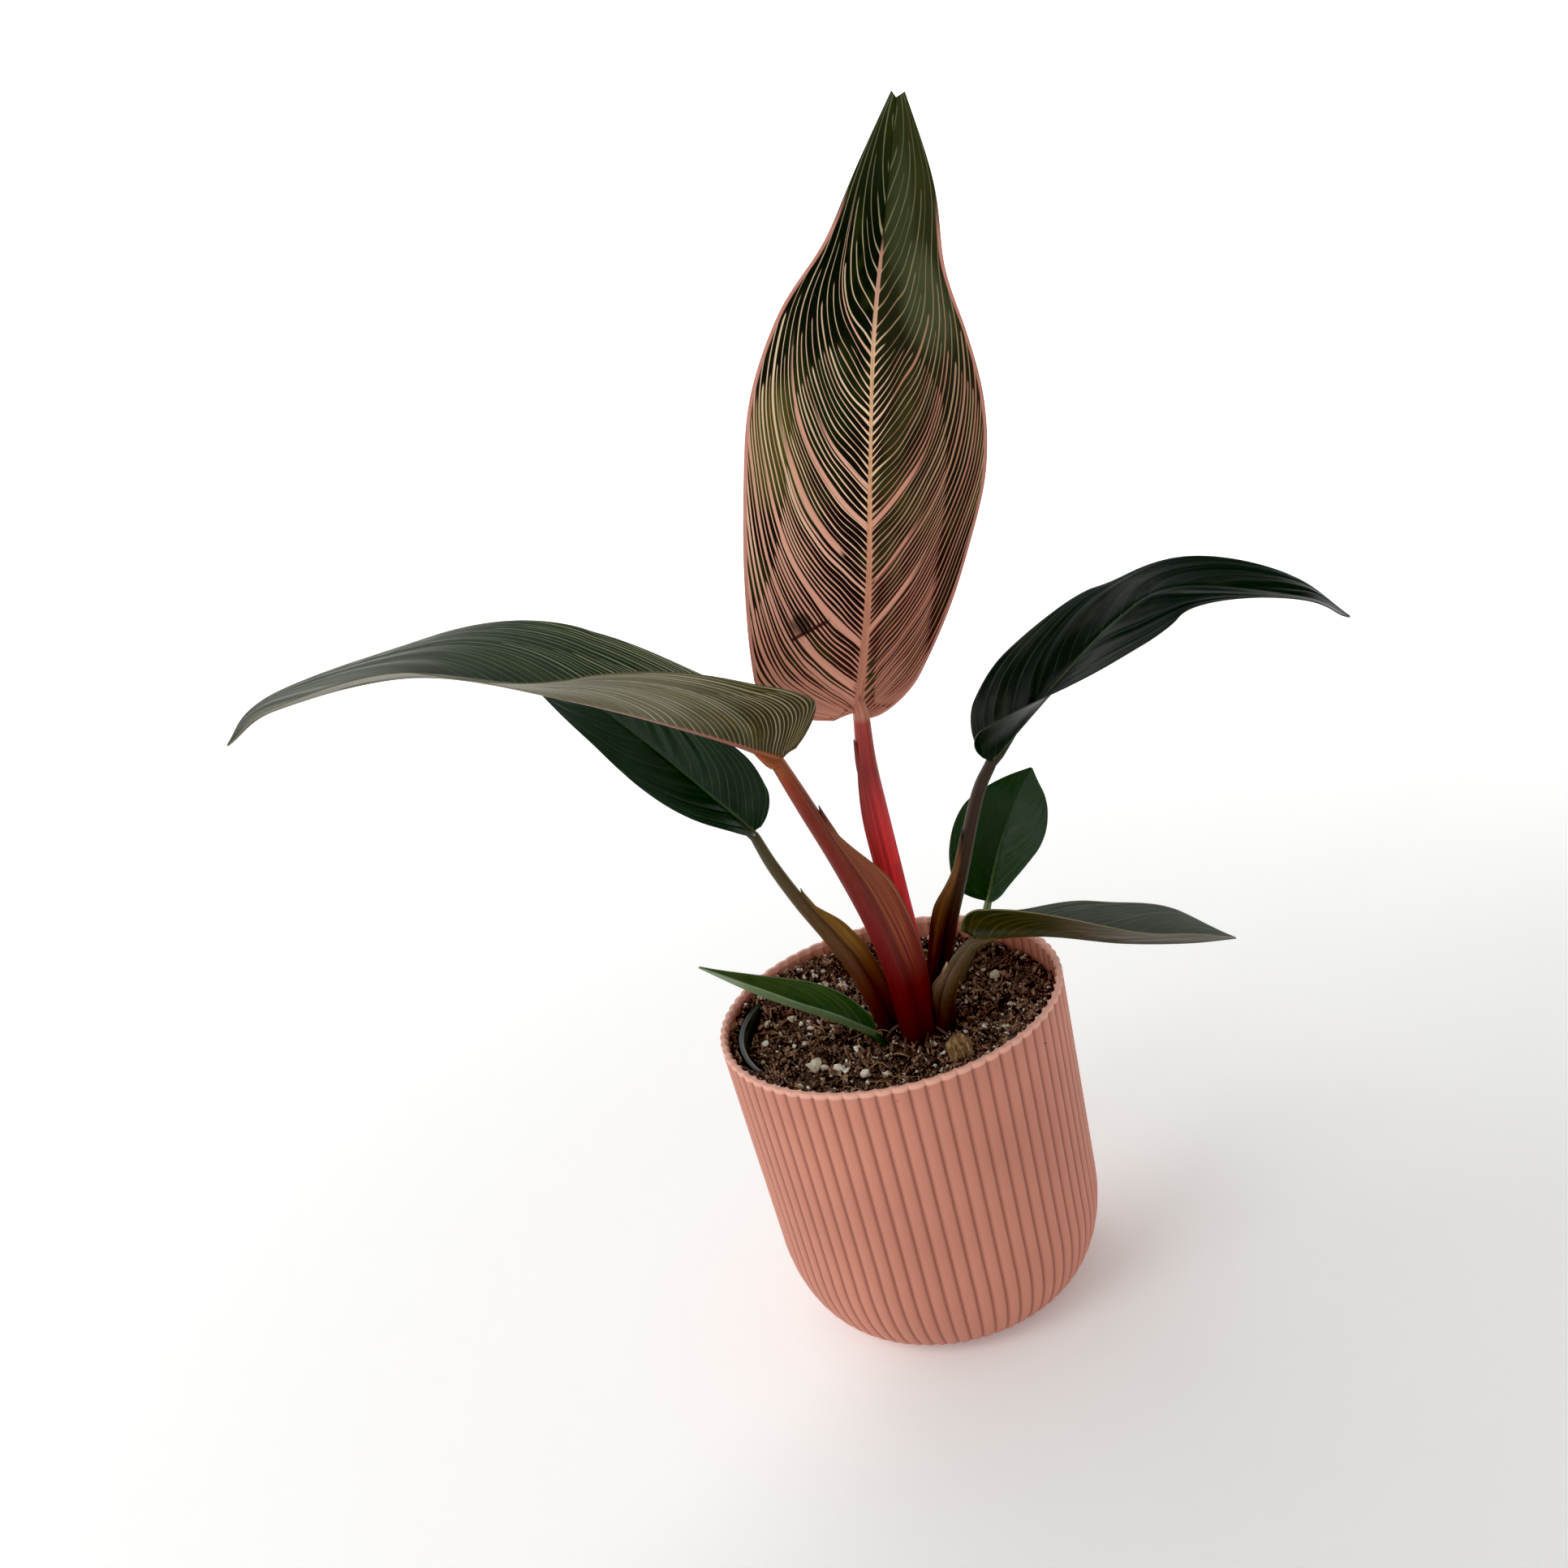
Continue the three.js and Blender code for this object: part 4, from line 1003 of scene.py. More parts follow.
def stalk_mesh(name, leaf):
    ear = leaf["ear"]
    steps = np.linspace(0, 1, STALK_RINGS)
    kept = np.clip((1 - steps / ear) / SHEATH_END, 0, 1)
    sheath = along(leaf["sheath"], steps / ear) * kept * kept * (3 - 2 * kept)
    under = np.linspace(*RUN_UNDER, UNDER_RINGS)
    below = square_to(along(leaf["face"], under), direction(leaf["spine"], under))
    thin = np.linspace(*THIN_UNDER, UNDER_RINGS)
    deep = np.concatenate([along(leaf["deep"], steps), leaf["deep"][-1] * thin])[:, None]
    wide = np.concatenate([along(leaf["wide"], steps), leaf["wide"][-1] * thin])[:, None]
    sunk = leaf["wide"][-1] * thin * leaf.get("sunk", SUNK) + RIB_COVER
    beneath = along(leaf["spine"], under) - below * sunk[:, None]
    centre = np.concatenate([along(leaf["stalk"], steps), beneath])
    sheath = np.concatenate([sheath, np.zeros(UNDER_RINGS)])
    places = np.concatenate([steps, 1 + under])
    angles = 2 * np.pi * np.arange(STALK_SIDES) / STALK_SIDES
    facing = np.maximum(np.cos(angles), 0)
    ridge = 0.45 * facing**5 + 0.55 * facing**24
    grooves = (GROOVE_PLACE, 2 * np.pi - GROOVE_PLACE)
    groove = sum(np.exp(-(((angles - place) / GROOVE_WIDTH) ** 2)) for place in grooves)
    groove = groove * GROOVE_DEPTH * np.minimum(1, deep / 2)
    deep = deep - groove + sheath[:, None] * ridge
    wide = wide - groove
    rings = ovals(centre, unit(np.gradient(centre, axis=0)), leaf["sheath_side"], angles, deep, wide)
    size = along(leaf["deep"], np.array([ear]))[0] / 4
    ear_points, ear_faces = ear_skin(leaf, size)
    mesh = outward(new_mesh(name, *together([tube(rings), (ear_points, ear_faces)])))
    marks = np.stack(np.broadcast_arrays(np.cos(angles), np.sin(angles), places[:, None]), -1).reshape(-1, 3)
    wing = (np.minimum(sheath, 1)[:, None] * ridge).ravel()
    ear_marks = np.tile([1, 0, ear], (len(ear_points), 1))
    ear_wing = np.concatenate([np.repeat(np.linspace(0.4, 2, 20), 16), [0.4, 2]])
    keep_values(mesh, "round", np.concatenate([marks, [[0, 0, 0], [0, 0, 1]], ear_marks]))
    keep_values(mesh, "wing", np.concatenate([wing, [0, 0], ear_wing]), "FLOAT")
    return mesh


def stalk_finish(name, looks):
    finish = Finish(name, Specular_IOR_Level=0.28)
    spot = finish.stored("round", "Vector")
    wing = finish.stored("wing")
    x, y, t = finish.parts(spot)
    fibre = finish.noise(finish.point(x * 9, y * 9, t * 1.8), 1, 3)
    fine = finish.noise(finish.point(x * 24, y * 24, t * 3), 1, 2)
    blotch = finish.noise(finish.point(x, y, t * 6), 1.6, 2)
    # The skin ramps start darker at the base: the stalks' own deeper red there, deepened by painted shade
    # where the stalks crowd at the crown.
    colour = finish.ramp(t, looks["skin"])
    if "top" in looks:
        colour = finish.mix(finish.rise(t, 0.965, 1.0), colour, looks["top"])
    colour = finish.mix(finish.rise(blotch, 0.5, 0.75) * 0.35, colour, looks["streak"])
    sheath = finish.rise(wing, 0.05, 0.4) * (0.55 + finish.rise(fine, 0.35, 0.6) * 0.45)
    colour = finish.mix(sheath, colour, finish.ramp(t, looks["wing"]))
    fleck = finish.rise(fine, 0.54, 0.62) * finish.rise(t, 0.3, 0.5) * 0.7
    colour = finish.mix(fleck * finish.rise(x, 0.1, 0.6), colour, looks.get("fleck", looks["streak"]))
    colour = finish.mix(finish.rise(fibre, 0.48, 0.66) * looks["shade"], colour, looks["streak"])
    seam = (1 - finish.rise(abs(x - SEAM), 0.015, 0.09)) * (1 - finish.rise(t, 0.8, 1))
    colour = finish.mix(seam * looks["seam"], colour, looks["streak"])
    colour = finish.mix(finish.rise(wing, 1.0, 1.7), colour, looks["ear"])
    finish.set(Base_Color=colour, Roughness=finish.rise(fibre, 0.3, 0.7) * 0.14 + 0.36)
    finish.relief(fibre * 0.7 + fine * 0.3, 0.3)
    return finish.material


for leaf_name, leaf in LEAVES.items():
    looks = STALK_LOOKS[leaf_name]
    skin = stalk_finish(f"stalk_skin_{leaf_name}", looks)
    new_piece(f"stalk_{leaf_name}", stalk_mesh(f"stalk_{leaf_name}", leaf), skin, looks["slot"],
              [f"petiole_{leaf_name}"])


# Crown: the short stem that the stalks clasp, with thin aerial roots that dip into the soil.
# Its skin is dark red-brown with paler scars; the roots are tan.
STEM_PLACE = (9, -8)
STEM_RADIUS = 8
STEM_TOP = 134
STEM_BOTTOM = 96
STEM_SHARES = (0.6, 0.95, 1, 1, 0.75, 0.35)
ROOTS = [
    ([[8, -8, 125], [-1, -9, 124.5], [-6, -10, 120]], [1.5, 1, 0.7]),
    ([[10, -8, 127], [20, -5, 125.5], [26, -6, 120]], [1.5, 1, 0.7]),
    ([[6, -14, 128], [3, -20, 126], [1, -25, 124.5], [0, -29, 119]], [1.0, 0.8, 0.6, 0.4]),
    ([[10, -15, 127], [11, -21, 125], [9, -27, 124], [10, -32, 119]], [0.9, 0.7, 0.5, 0.4]),
    ([[13, -13, 126], [17, -21, 124.5], [22, -25, 120]], [0.9, 0.7, 0.4]),
]


def crown_finish():
    finish = Finish("crown_skin", Roughness=0.55)
    place = finish.surface()
    _, _, height = finish.parts(place)
    scars = finish.noise(place, 240, 4)
    colour = finish.mix(finish.rise(scars, 0.35, 0.7), (58, 22, 16), (112, 62, 42))
    colour = finish.mix(finish.rise(height, 0.122, 0.132), (70, 42, 28), colour)
    finish.set(Base_Color=colour)
    finish.relief(scars, 0.4)
    return finish.material


stem_spine = [[*STEM_PLACE, STEM_BOTTOM + (STEM_TOP - STEM_BOTTOM) * k / 5] for k in range(6)]
stem_radii = [STEM_RADIUS * share for share in STEM_SHARES]
crown_skins = [rod(stem_spine, stem_radii, 40, 40, 0.04)]
crown_skins += [rod(spine, radii, 12, 24, 0.08) for spine, radii in ROOTS]
crown = outward(new_mesh("crown", *together(crown_skins)))
new_piece("crown", crown, crown_finish(), "stem", ["stem"])


# Bark chip: one dry tan flake of bark, ragged at its edge, that leans on the soil at the front rim.
CHIP_OUTLINE = [[-5.5, -4.5], [4.5, -5.5], [6, 1.5], [3, 5.5], [-4.5, 3]]
CHIP_THICKNESS = 1.4
CHIP_PLACE = (20.6, -37, 125.2)
CHIP_TILT = math.radians(38)
CHIP_TURN = math.radians(14)
CHIP_EDGE_POINTS = 90
CHIP_RINGS = 14


def chip_mesh():
    corners = np.array(CHIP_OUTLINE + CHIP_OUTLINE[:1], float)
    place = np.linspace(0, len(CHIP_OUTLINE), CHIP_EDGE_POINTS, endpoint=False)
    i = place.astype(int)
    edge = corners[i] + (corners[i + 1] - corners[i]) * (place - i)[:, None]
    edge *= (1 + 0.02 * np.sin(place * 9) + 0.02 * np.sin(place * 23 + 1))[:, None]
    rings = []
    for side in (1, -1):
        for k in range(CHIP_RINGS):
            share = (k + 1) / CHIP_RINGS if side > 0 else 1 - k / CHIP_RINGS
            flat = edge * share
            flake = 0.25 * np.sin(flat[:, 0] * 2.1 + 0.8 * np.sin(flat[:, 1]))
            flake = flake + 0.12 * np.sin(flat[:, 0] * 5.3)
            thick = CHIP_THICKNESS / 2 * (1 - 0.75 * share**6)
            rings.append(np.column_stack([flat, side * thick + flake]))
    mesh = outward(new_mesh("bark_flake", *tube(np.array(rings))))
    turn = Matrix.Rotation(CHIP_TURN, 4, "Z") @ Matrix.Rotation(CHIP_TILT, 4, "X")
    mesh.transform(Matrix.Translation(Vector(CHIP_PLACE) * MM) @ turn)
    return mesh


def chip_finish():
    finish = Finish("dry_bark", Roughness=0.85)
    place = finish.surface()
    x, y, z = finish.parts(place)
    fibre = finish.noise(finish.point(x * 3, y, z), 420, 4)
    colour = finish.ramp(fibre, [(0.3, 70, 50, 32), (0.5, 136, 104, 66), (0.7, 180, 148, 106)])
    finish.set(Base_Color=colour)
    finish.relief(fibre, 0.6)
    return finish.material


new_piece("bark_flake", chip_mesh(), chip_finish(), "bark_chip", ["bark_chip"])


# Blades: thin, satin leaf blades with a midrib that stands out below, side veins that sweep toward
# the tip, shallow folds between them and a thickened margin. Each is one piece with its stalk.
BLADE_ROWS = 200
BLADE_COLUMNS = 32
BLADE_THICKNESS = 0.6
MARGIN_THICKNESS = 0.4
VEIN_SWEEP = 0.2
VEIN_CURVE = 0.37
VEIN_START = 0.65
VEIN_GAIN = 0.45
SWEEP_SPREAD = 0.03
CURVE_SPREAD = 0.12
CREASE_FROM = (0.3, 0.162)
CREASE_TO = (0.64, 0.13)
CREASE_DEPTH = 0.7
CREASE_WIDTH = 0.009


def vein_slopes(t):
    """How far the side veins sweep forward by their length and by its cube; for numbers and values."""
    sweep = (VEIN_START + VEIN_GAIN * t * t / (t * t + SWEEP_SPREAD)) * VEIN_SWEEP
    return sweep, t * t / (t * t + CURVE_SPREAD) * VEIN_CURVE


def vein_place(t, out):
    """Where, along the midrib, the side vein through a point leaves it."""
    sweep, curve = vein_slopes(t)
    return t - out * sweep - out**3 * curve


def crease_place(out):
    slope = (CREASE_TO[1] - CREASE_FROM[1]) / (CREASE_TO[0] - CREASE_FROM[0])
    return (out - CREASE_FROM[0]) * slope + CREASE_FROM[1]


def blade_points(leaf, t, v):
    """Points of the sheet, and the distance of each from the midrib. t and v are grids."""
    flat_t, flat_v = t.ravel(), v.ravel()
    out = np.abs(flat_v)
    right = flat_v >= 0

    def half(key):
        return np.where(right, along(leaf[key + "right"], flat_t), along(leaf[key + "left"], flat_t))

    tangent = direction(leaf["spine"], flat_t)
    normal = square_to(along(leaf["face"], flat_t), tangent)
    sideways = np.cross(tangent, normal) * np.where(right, 1, -1)[:, None]
    rounding = 1 - np.minimum(flat_t / BASE_ROUNDING, 1)
    width = half("") * (BASE_WIDTH + (1 - BASE_WIDTH) * np.sqrt(1 - rounding**2))
    fold = np.radians(half("fold_"))
    curl = np.radians(half("curl_"))
    curl = np.where(np.abs(curl) < 1e-4, 1e-4, curl)
    across = width * (np.sin(fold + curl * out) - np.sin(fold)) / curl
    lift = width * (np.cos(fold) - np.cos(fold + curl * out)) / curl
    phase = MARGIN_WAVES * flat_t + np.where(right, 0, 0.3)
    wave = leaf["wave"] * out**3 * np.sin(2 * np.pi * phase) * np.sin(np.pi * flat_t)
    back = leaf["lobe"] * out**1.5 * (1 - flat_t) ** 6
    back = back + leaf.get("notch", 0) * (1 - out) * flat_t**NOTCH_SHARPNESS
    points = (along(leaf["spine"], flat_t) + sideways * across[:, None] + normal * (lift + wave)[:, None]
              - tangent * back[:, None])
    return points.reshape(*t.shape, 3), (width * out).reshape(t.shape), width.reshape(t.shape)


def blade_relief(t, v, distance, looks):
    """How far the sheet is pushed in, in millimetres: folds between the side veins, and a crease."""
    out = np.abs(v)
    side = np.where(v > 0, 1.7, 0)
    vein = vein_place(t, out)
    phase = 2 * np.pi * (vein * looks["folds"] + 0.3 * np.sin(7 * vein + 3 * side)) + side
    fold = np.cos(phase) + 0.5 * np.cos(phase * 1.7 + 1 + side)
    uneven = 0.65 + 0.35 * np.sin(9 * vein + 2 * side + 2 * out)
    fade = (1 - out**4) * np.minimum(distance / 4, 1) * np.minimum((1 - t) * 6, 1) * np.minimum(t * 12, 1)
    relief = looks["quilt"] * fold * uneven * fade
    if looks.get("crease"):
        window = np.clip((out - CREASE_FROM[0]) * 12, 0, 1)
        window = window * np.clip((CREASE_TO[0] - out) * 12, 0, 1) * (v < 0)
        relief = relief + CREASE_DEPTH * window * np.exp(-(((t - crease_place(out)) / CREASE_WIDTH) ** 2))
    return relief


def blade_mesh(name, leaf, looks):
    t = np.linspace(0, 1, BLADE_ROWS + 1) ** 1.15
    v = np.linspace(-1, 1, 2 * BLADE_COLUMNS + 1)
    v = np.sign(v) * np.abs(v) ** 1.2
    t, v = np.meshgrid(t, v, indexing="ij")
    sheet, distance, width = blade_points(leaf, t, v)
    out = np.abs(v)
    normal = unit(np.cross(np.gradient(sheet, axis=1), np.gradient(sheet, axis=0)))
    sheet = sheet - normal * blade_relief(t, v, distance, looks)[..., None]
    half = BLADE_THICKNESS / 2 - (BLADE_THICKNESS - MARGIN_THICKNESS) / 2 * out**3
    taper = 1 - t
    rib = looks["rib"] * taper**0.8 * np.exp(-((distance / (0.9 + 2.2 * taper)) ** 2))
    channel = 0.45 * taper**0.5 * np.exp(-((distance / 1.1) ** 2))
    upper = sheet + normal * (half - channel)[..., None]
    under = sheet - normal * (half + rib)[..., None]
    rows, columns = t.shape
    points = np.concatenate([upper.reshape(-1, 3), under.reshape(-1, 3)])
    index = np.arange(rows * columns).reshape(rows, columns)
    a, b = index[:-1, :-1].ravel(), index[:-1, 1:].ravel()
    c, d = index[1:, 1:].ravel(), index[1:, :-1].ravel()
    beneath = rows * columns
    faces = np.column_stack([a, b, c, d]).tolist()
    faces += np.column_stack([a + beneath, d + beneath, c + beneath, b + beneath]).tolist()
    rim = np.concatenate([index[0, :-1], index[:-1, -1], index[-1, :0:-1], index[:0:-1, 0]])
    following = np.roll(rim, -1)
    faces += np.column_stack([rim, rim + beneath, following + beneath, following]).tolist()
    mesh = outward(new_mesh(name, points, faces))
    marks = np.stack([v, t, distance], -1).reshape(-1, 3)
    keep_values(mesh, "leaf", np.concatenate([marks, marks]))
    keep_values(mesh, "under", np.repeat([0.0, 1.0], beneath), "FLOAT")
    keep_values(mesh, "width", np.tile(width.ravel(), 2), "FLOAT")
    return mesh


# What a blade looks like, for its left and right half above and for its underside: the ground colour
# from base to tip, the fine lines along the side veins, half their span and their edges.
PINK_LEFT = dict(
    ground=[(0, 130, 70, 58), (0.04, 50, 24, 18), (0.2, 20, 10, 7), (0.42, 17, 13, 6), (0.56, 12, 17, 7),
            (0.8, 12, 19, 9), (1, 40, 48, 26)],
    lines=[(0, 180, 118, 98), (0.08, 198, 138, 116), (0.3, 232, 184, 156), (0.5, 240, 210, 174),
           (0.7, 200, 184, 150), (0.85, 120, 124, 96), (1, 84, 98, 72)],
    span=[(0, 0.75), (0.05, 0.5), (0.1, 0.27), (0.3, 0.24), (0.48, 0.2), (0.6, 0.15), (0.8, 0.12), (1, 0.1)],
    blotch_and_sheen=(40, 48, 18), accent=(210, 152, 132), edge=(84, 40, 30), bleed=0.35)
PINK_RIGHT = dict(
    ground=[(0, 126, 68, 56), (0.04, 54, 28, 20), (0.25, 26, 16, 10), (0.45, 28, 22, 11), (0.65, 32, 35, 18),
            (0.85, 46, 50, 27), (1, 46, 54, 28)],
    lines=[(0, 174, 114, 96), (0.2, 184, 132, 110), (0.4, 174, 142, 112), (0.6, 156, 134, 102),
           (0.8, 112, 112, 82), (1, 84, 94, 66)],
    span=[(0, 0.75), (0.05, 0.48), (0.12, 0.27), (0.4, 0.23), (0.6, 0.19), (0.75, 0.16), (1, 0.1)],
    blotch_and_sheen=(54, 54, 26), accent=(178, 116, 98), edge=(84, 44, 32), bleed=0.3)
PINK_UNDER = dict(
    ground=[(0, 150, 96, 84), (0.3, 104, 72, 60), (1, 84, 88, 66)],
    lines=[(0, 206, 146, 128), (0.5, 176, 140, 116), (1, 110, 112, 86)],
    span=[(0, 0.6), (0.4, 0.35), (1, 0.2)], blotch_and_sheen=(96, 92, 66), accent=(196, 130, 112), edge=(120, 70, 58),
    bleed=0.3)
# The upper-left blade's top turns grey-green past its middle: a painted sheen over its dark green.
STRIPED_TOP = dict(
    ground=[(0, 44, 50, 26), (0.3, 34, 50, 30), (0.5, 54, 66, 52), (0.7, 90, 94, 84), (0.85, 84, 88, 78),
            (1, 46, 50, 40)],
    lines=[(0, 140, 130, 92), (0.35, 158, 162, 124), (0.5, 120, 130, 104), (0.7, 92, 102, 86),
           (1, 76, 82, 72)],
    span=[(0, 0.3), (0.3, 0.2), (0.5, 0.14), (0.65, 0.06), (1, 0.0)],
    blotch_and_sheen=(64, 74, 52), accent=(96, 104, 74),
    edge=(24, 34, 18), bleed=0.3)
# Its underside is dark olive at the base; the grey of its ground beyond a third of the way is a painted
# sheen.
STRIPED_UNDER = dict(
    ground=[(0, 44, 38, 14), (0.18, 48, 42, 16), (0.3, 92, 88, 66), (0.42, 92, 88, 62), (0.56, 118, 114, 96),
            (0.85, 112, 110, 98), (1, 66, 66, 54)],
    lines=[(0, 150, 132, 98), (0.2, 156, 150, 120), (0.45, 156, 152, 128), (1, 132, 130, 114)],
    span=[(0, 0.2), (0.12, 0.18), (0.3, 0.17), (0.45, 0.12), (1, 0.05)], blotch_and_sheen=(66, 60, 24),
    accent=(98, 88, 52), edge=(50, 44, 18), bleed=0.3)


def plain_side(base, tip, line, blotch_and_sheen, span=0.24):
    """A side of a green blade, with sparse, faint lines."""
    return dict(ground=[(0, *base), (1, *tip)], lines=[(0, *line), (1, *tip)],
                span=[(0, span), (1, span * 0.6)],
                blotch_and_sheen=blotch_and_sheen, accent=tip, edge=base, bleed=0.2)


BLADE_LOOKS = {
    "centre": dict(
        slot="blade_pink", left=PINK_LEFT, right=PINK_RIGHT, under=PINK_UNDER, count=216, quilt=0.12, folds=9,
        rib=1.6, shine=0.12, roughness=0.5, feather=0.2, crease=True,
        rib_colour=[(0, 184, 122, 102), (0.14, 200, 136, 110), (0.3, 220, 156, 122), (0.42, 230, 178, 132),
                    (0.58, 228, 186, 146), (0.7, 206, 156, 132), (0.76, 196, 142, 122), (0.79, 30, 35, 18),
                    (1, 24, 30, 14)],
        rib_width=[(0, 0.95), (0.08, 0.8), (0.25, 0.5), (0.45, 0.28), (0.62, 0.36), (0.74, 0.3), (0.79, 0.12),
                   (1, 0.08)],
        margin=(204, 140, 124), margin_width=1.7, margin_end=0.86,
        # Spots on the upper side: the first is a painted shadow beside the crease's fold, the fifth a painted
        # sheen of a soft reflection at the upper right; the olive ones near the left margin are the blade's
        # own colour.
        tint_shadow_and_sheen_spots=[(-0.56, 0.156, 0.12, 0.026, (16, 14, 8), 1.0), (-0.8, 0.44, 0.26, 0.11, (104, 98, 44), 0.5),
               (-0.62, 0.38, 0.18, 0.06, (66, 64, 32), 0.35), (-0.4, 0.5, 0.3, 0.1, (26, 40, 14), 0.5),
               (0.6, 0.68, 0.4, 0.13, (92, 98, 68), 0.42), (0.3, 0.82, 0.3, 0.14, (66, 72, 50), 0.5)],
        glows=[(-0.12, 0.42, 0.26, 0.2), (0.06, 0.5, 0.14, 0.16)],
        bands=[(-1, 0.307, 0.0, 0.8, 0.0065), (-1, 0.113, 0.0, 0.95, 0.008), (-1, 0.228, 0.26, 0.8, 0.009),
               (-1, 0.368, 0.02, 0.5, 0.004), (-1, 0.567, 0.0, 0.85, 0.003), (-1, 0.03, 0.1, 0.7, 0.006),
               (1, 0.31, 0.0, 0.5, 0.0075), (1, 0.135, 0.0, 0.6, 0.0075), (1, 0.215, 0.08, 0.5, 0.004)],
        band_colour=(222, 156, 134)),
    "upper_left": dict(
        slot="blade_striped", left=STRIPED_TOP, right=STRIPED_TOP, under=STRIPED_UNDER, count=84,
        waver=0.008, quilt=0.36,
        folds=9, rib=1.8, shine=0.3, roughness=0.4,
        rib_colour=[(0, 158, 84, 44), (0.15, 140, 84, 66), (0.4, 138, 98, 82), (0.6, 112, 100, 84),
                    (1, 60, 62, 50)],
        rib_width=[(0, 0.9), (0.12, 0.45), (0.4, 0.22), (1, 0.08)], margin=(96, 90, 62), margin_width=0.5),
    # Its upper side grows paler and greyer toward the tip: a painted sheen over the dark green.
    "lower_left": dict(
        slot="blade_dark", left=plain_side((16, 38, 20), (36, 50, 38), (48, 72, 48), (30, 54, 34)),
        right=plain_side((9, 36, 10), (26, 42, 26), (64, 90, 56), (14, 46, 14), 0.16),
        under=plain_side((40, 64, 40), (44, 60, 42), (60, 84, 56), (50, 70, 46)),
        count=26, quilt=0.22, folds=8,
        rib=1.4, shine=0.26, roughness=0.36, rib_colour=[(0, 62, 88, 50), (1, 12, 30, 14)],
        rib_width=[(0, 0.5), (0.4, 0.16), (1, 0.08)], margin=(30, 44, 26), margin_width=0.4),
    # Its grey blotches are painted sheen streaks on the dark green.
    "right": dict(
        slot="blade_dark", left=plain_side((6, 14, 8), (14, 28, 16), (48, 60, 48), (36, 38, 30)),
        right=plain_side((6, 14, 8), (12, 26, 15), (46, 56, 46), (30, 34, 26)),
        under=plain_side((18, 27, 19), (34, 40, 32), (30, 40, 28), (34, 40, 32)),
        count=26, quilt=0.32, folds=6,
        rib=1.4, shine=0.13, roughness=0.38,
        rib_colour=[(0, 84, 96, 64), (0.5, 60, 74, 50), (0.8, 18, 30, 20), (1, 14, 24, 16)],
        rib_width=[(0, 0.3), (0.4, 0.14), (1, 0.08)], margin=(52, 56, 44), margin_width=0.4),
    "back_right": dict(
        slot="blade_green", left=plain_side((14, 42, 6), (26, 50, 18), (30, 58, 22), (22, 50, 14)),
        right=plain_side((28, 56, 20), (52, 68, 50), (54, 76, 50), (54, 70, 50)),
        under=plain_side((70, 92, 62), (74, 92, 68), (84, 104, 76), (80, 98, 70)),
        count=22, quilt=0.14, folds=7,
        rib=1.0, shine=0.25, roughness=0.46,
        rib_colour=[(0, 92, 112, 66), (0.5, 36, 60, 30), (1, 30, 54, 26)],
        rib_width=[(0, 0.4), (0.5, 0.14), (1, 0.08)], margin=(44, 64, 36), margin_width=0.35),
    "lower_right": dict(
        slot="blade_olive", left=plain_side((60, 70, 54), (92, 98, 90), (92, 98, 84), (86, 92, 82)),
        right=plain_side((40, 46, 24), (56, 60, 42), (66, 68, 46), (60, 58, 30)),
        under=plain_side((36, 40, 20), (60, 56, 30), (76, 66, 34), (60, 48, 22)),
        count=26, quilt=0.12, folds=7,
        rib=1.4, shine=0.36, roughness=0.38, rib_colour=[(0, 70, 60, 26), (1, 50, 52, 34)],
        rib_width=[(0, 0.4), (0.5, 0.2), (1, 0.1)], margin=(120, 112, 84), margin_width=0.45),
    "front_left": dict(
        slot="blade_green", left=plain_side((18, 56, 14), (56, 78, 28), (30, 70, 24), (16, 60, 18)),
        right=plain_side((22, 60, 18), (70, 86, 34), (36, 76, 28), (24, 66, 24)),
        under=plain_side((92, 116, 84), (110, 124, 84), (110, 130, 96), (96, 120, 86)), count=16, quilt=0.08,
        folds=5, rib=0.7, shine=0.3, roughness=0.42, rib_colour=[(0, 80, 116, 60), (1, 100, 116, 64)],
        rib_width=[(0, 0.3), (0.5, 0.14), (1, 0.08)], margin=(112, 130, 100), margin_width=0.5),
}
RIB_SPAN = 3.2
LINE_EDGE = 0.08
LINE_WAVER = 0.02
LINES_THIN_OUT = 0.35
LINES_CROWDED = 1.15
LINE_SPREADS = (2, 4, 8)
BLADE_REACH = 220
WIDTH_LEAST = 0.5
WIDTH_CHANCE = 0.9
BOLD_FROM = 0.88
BOLD_EXTRA = 0.8
STRAND_CHANCE = 1.6
RIB_CROWD = 0.5
TIP_CROWD = 0.7


def line_comb(finish, place, density, crowd, spread):
    """The nearest of every so many lines, its distance in millimetres, and how far each second one
    has run out because the lines are crowded."""
    nearest = finish.sum("ROUND", place / spread, 0)
    offset = abs(place / spread - nearest) * spread / density
    odd = abs(finish.sine(nearest * (math.pi / 2)))
    gone = odd * finish.rise(crowd / spread, LINES_CROWDED * 0.85, LINES_CROWDED)
    return nearest * spread, offset, gone


def painted(finish, t, comb, hue, cloud, paint):
    """Ground colour, line colour and lines, for one half or side of a blade. The comb is how far a
    place is from its line, how wide that line is by chance, and what is added to its width."""
    offset, chance, added = comb
    cover = finish.ramp(t, paint["span"]) * chance + added - offset
    line = finish.rise(cover, -LINE_EDGE, LINE_EDGE)
    edge = finish.rise(cover, -0.3, -LINE_EDGE) * (1 - line)
    ground = finish.ramp(t, paint["ground"])
    # Blotches of another colour: the blade's own tint on most blades, painted sheen on the right one.
    ground = finish.mix(finish.rise(cloud, 0.48, 0.7) * 0.8, ground, paint["blotch_and_sheen"])
    ground = finish.mix(edge * paint["bleed"], ground, paint["edge"])
    accent = finish.rise(hue, 0.5, 0.8) * (1 - finish.rise(t, 0.5, 0.75)) * 0.7
    lines = finish.mix(accent, finish.ramp(t, paint["lines"]), paint["accent"])
    return ground, lines, line


def oval(finish, across, onward, half_width, half_length):
    """1 in the middle of an oval and 0 outside it, from how far a place is from its middle."""
    far = (across / half_width) ** 2 + (onward / half_length) ** 2
    return 1 - finish.rise(far, 0.1, 1)


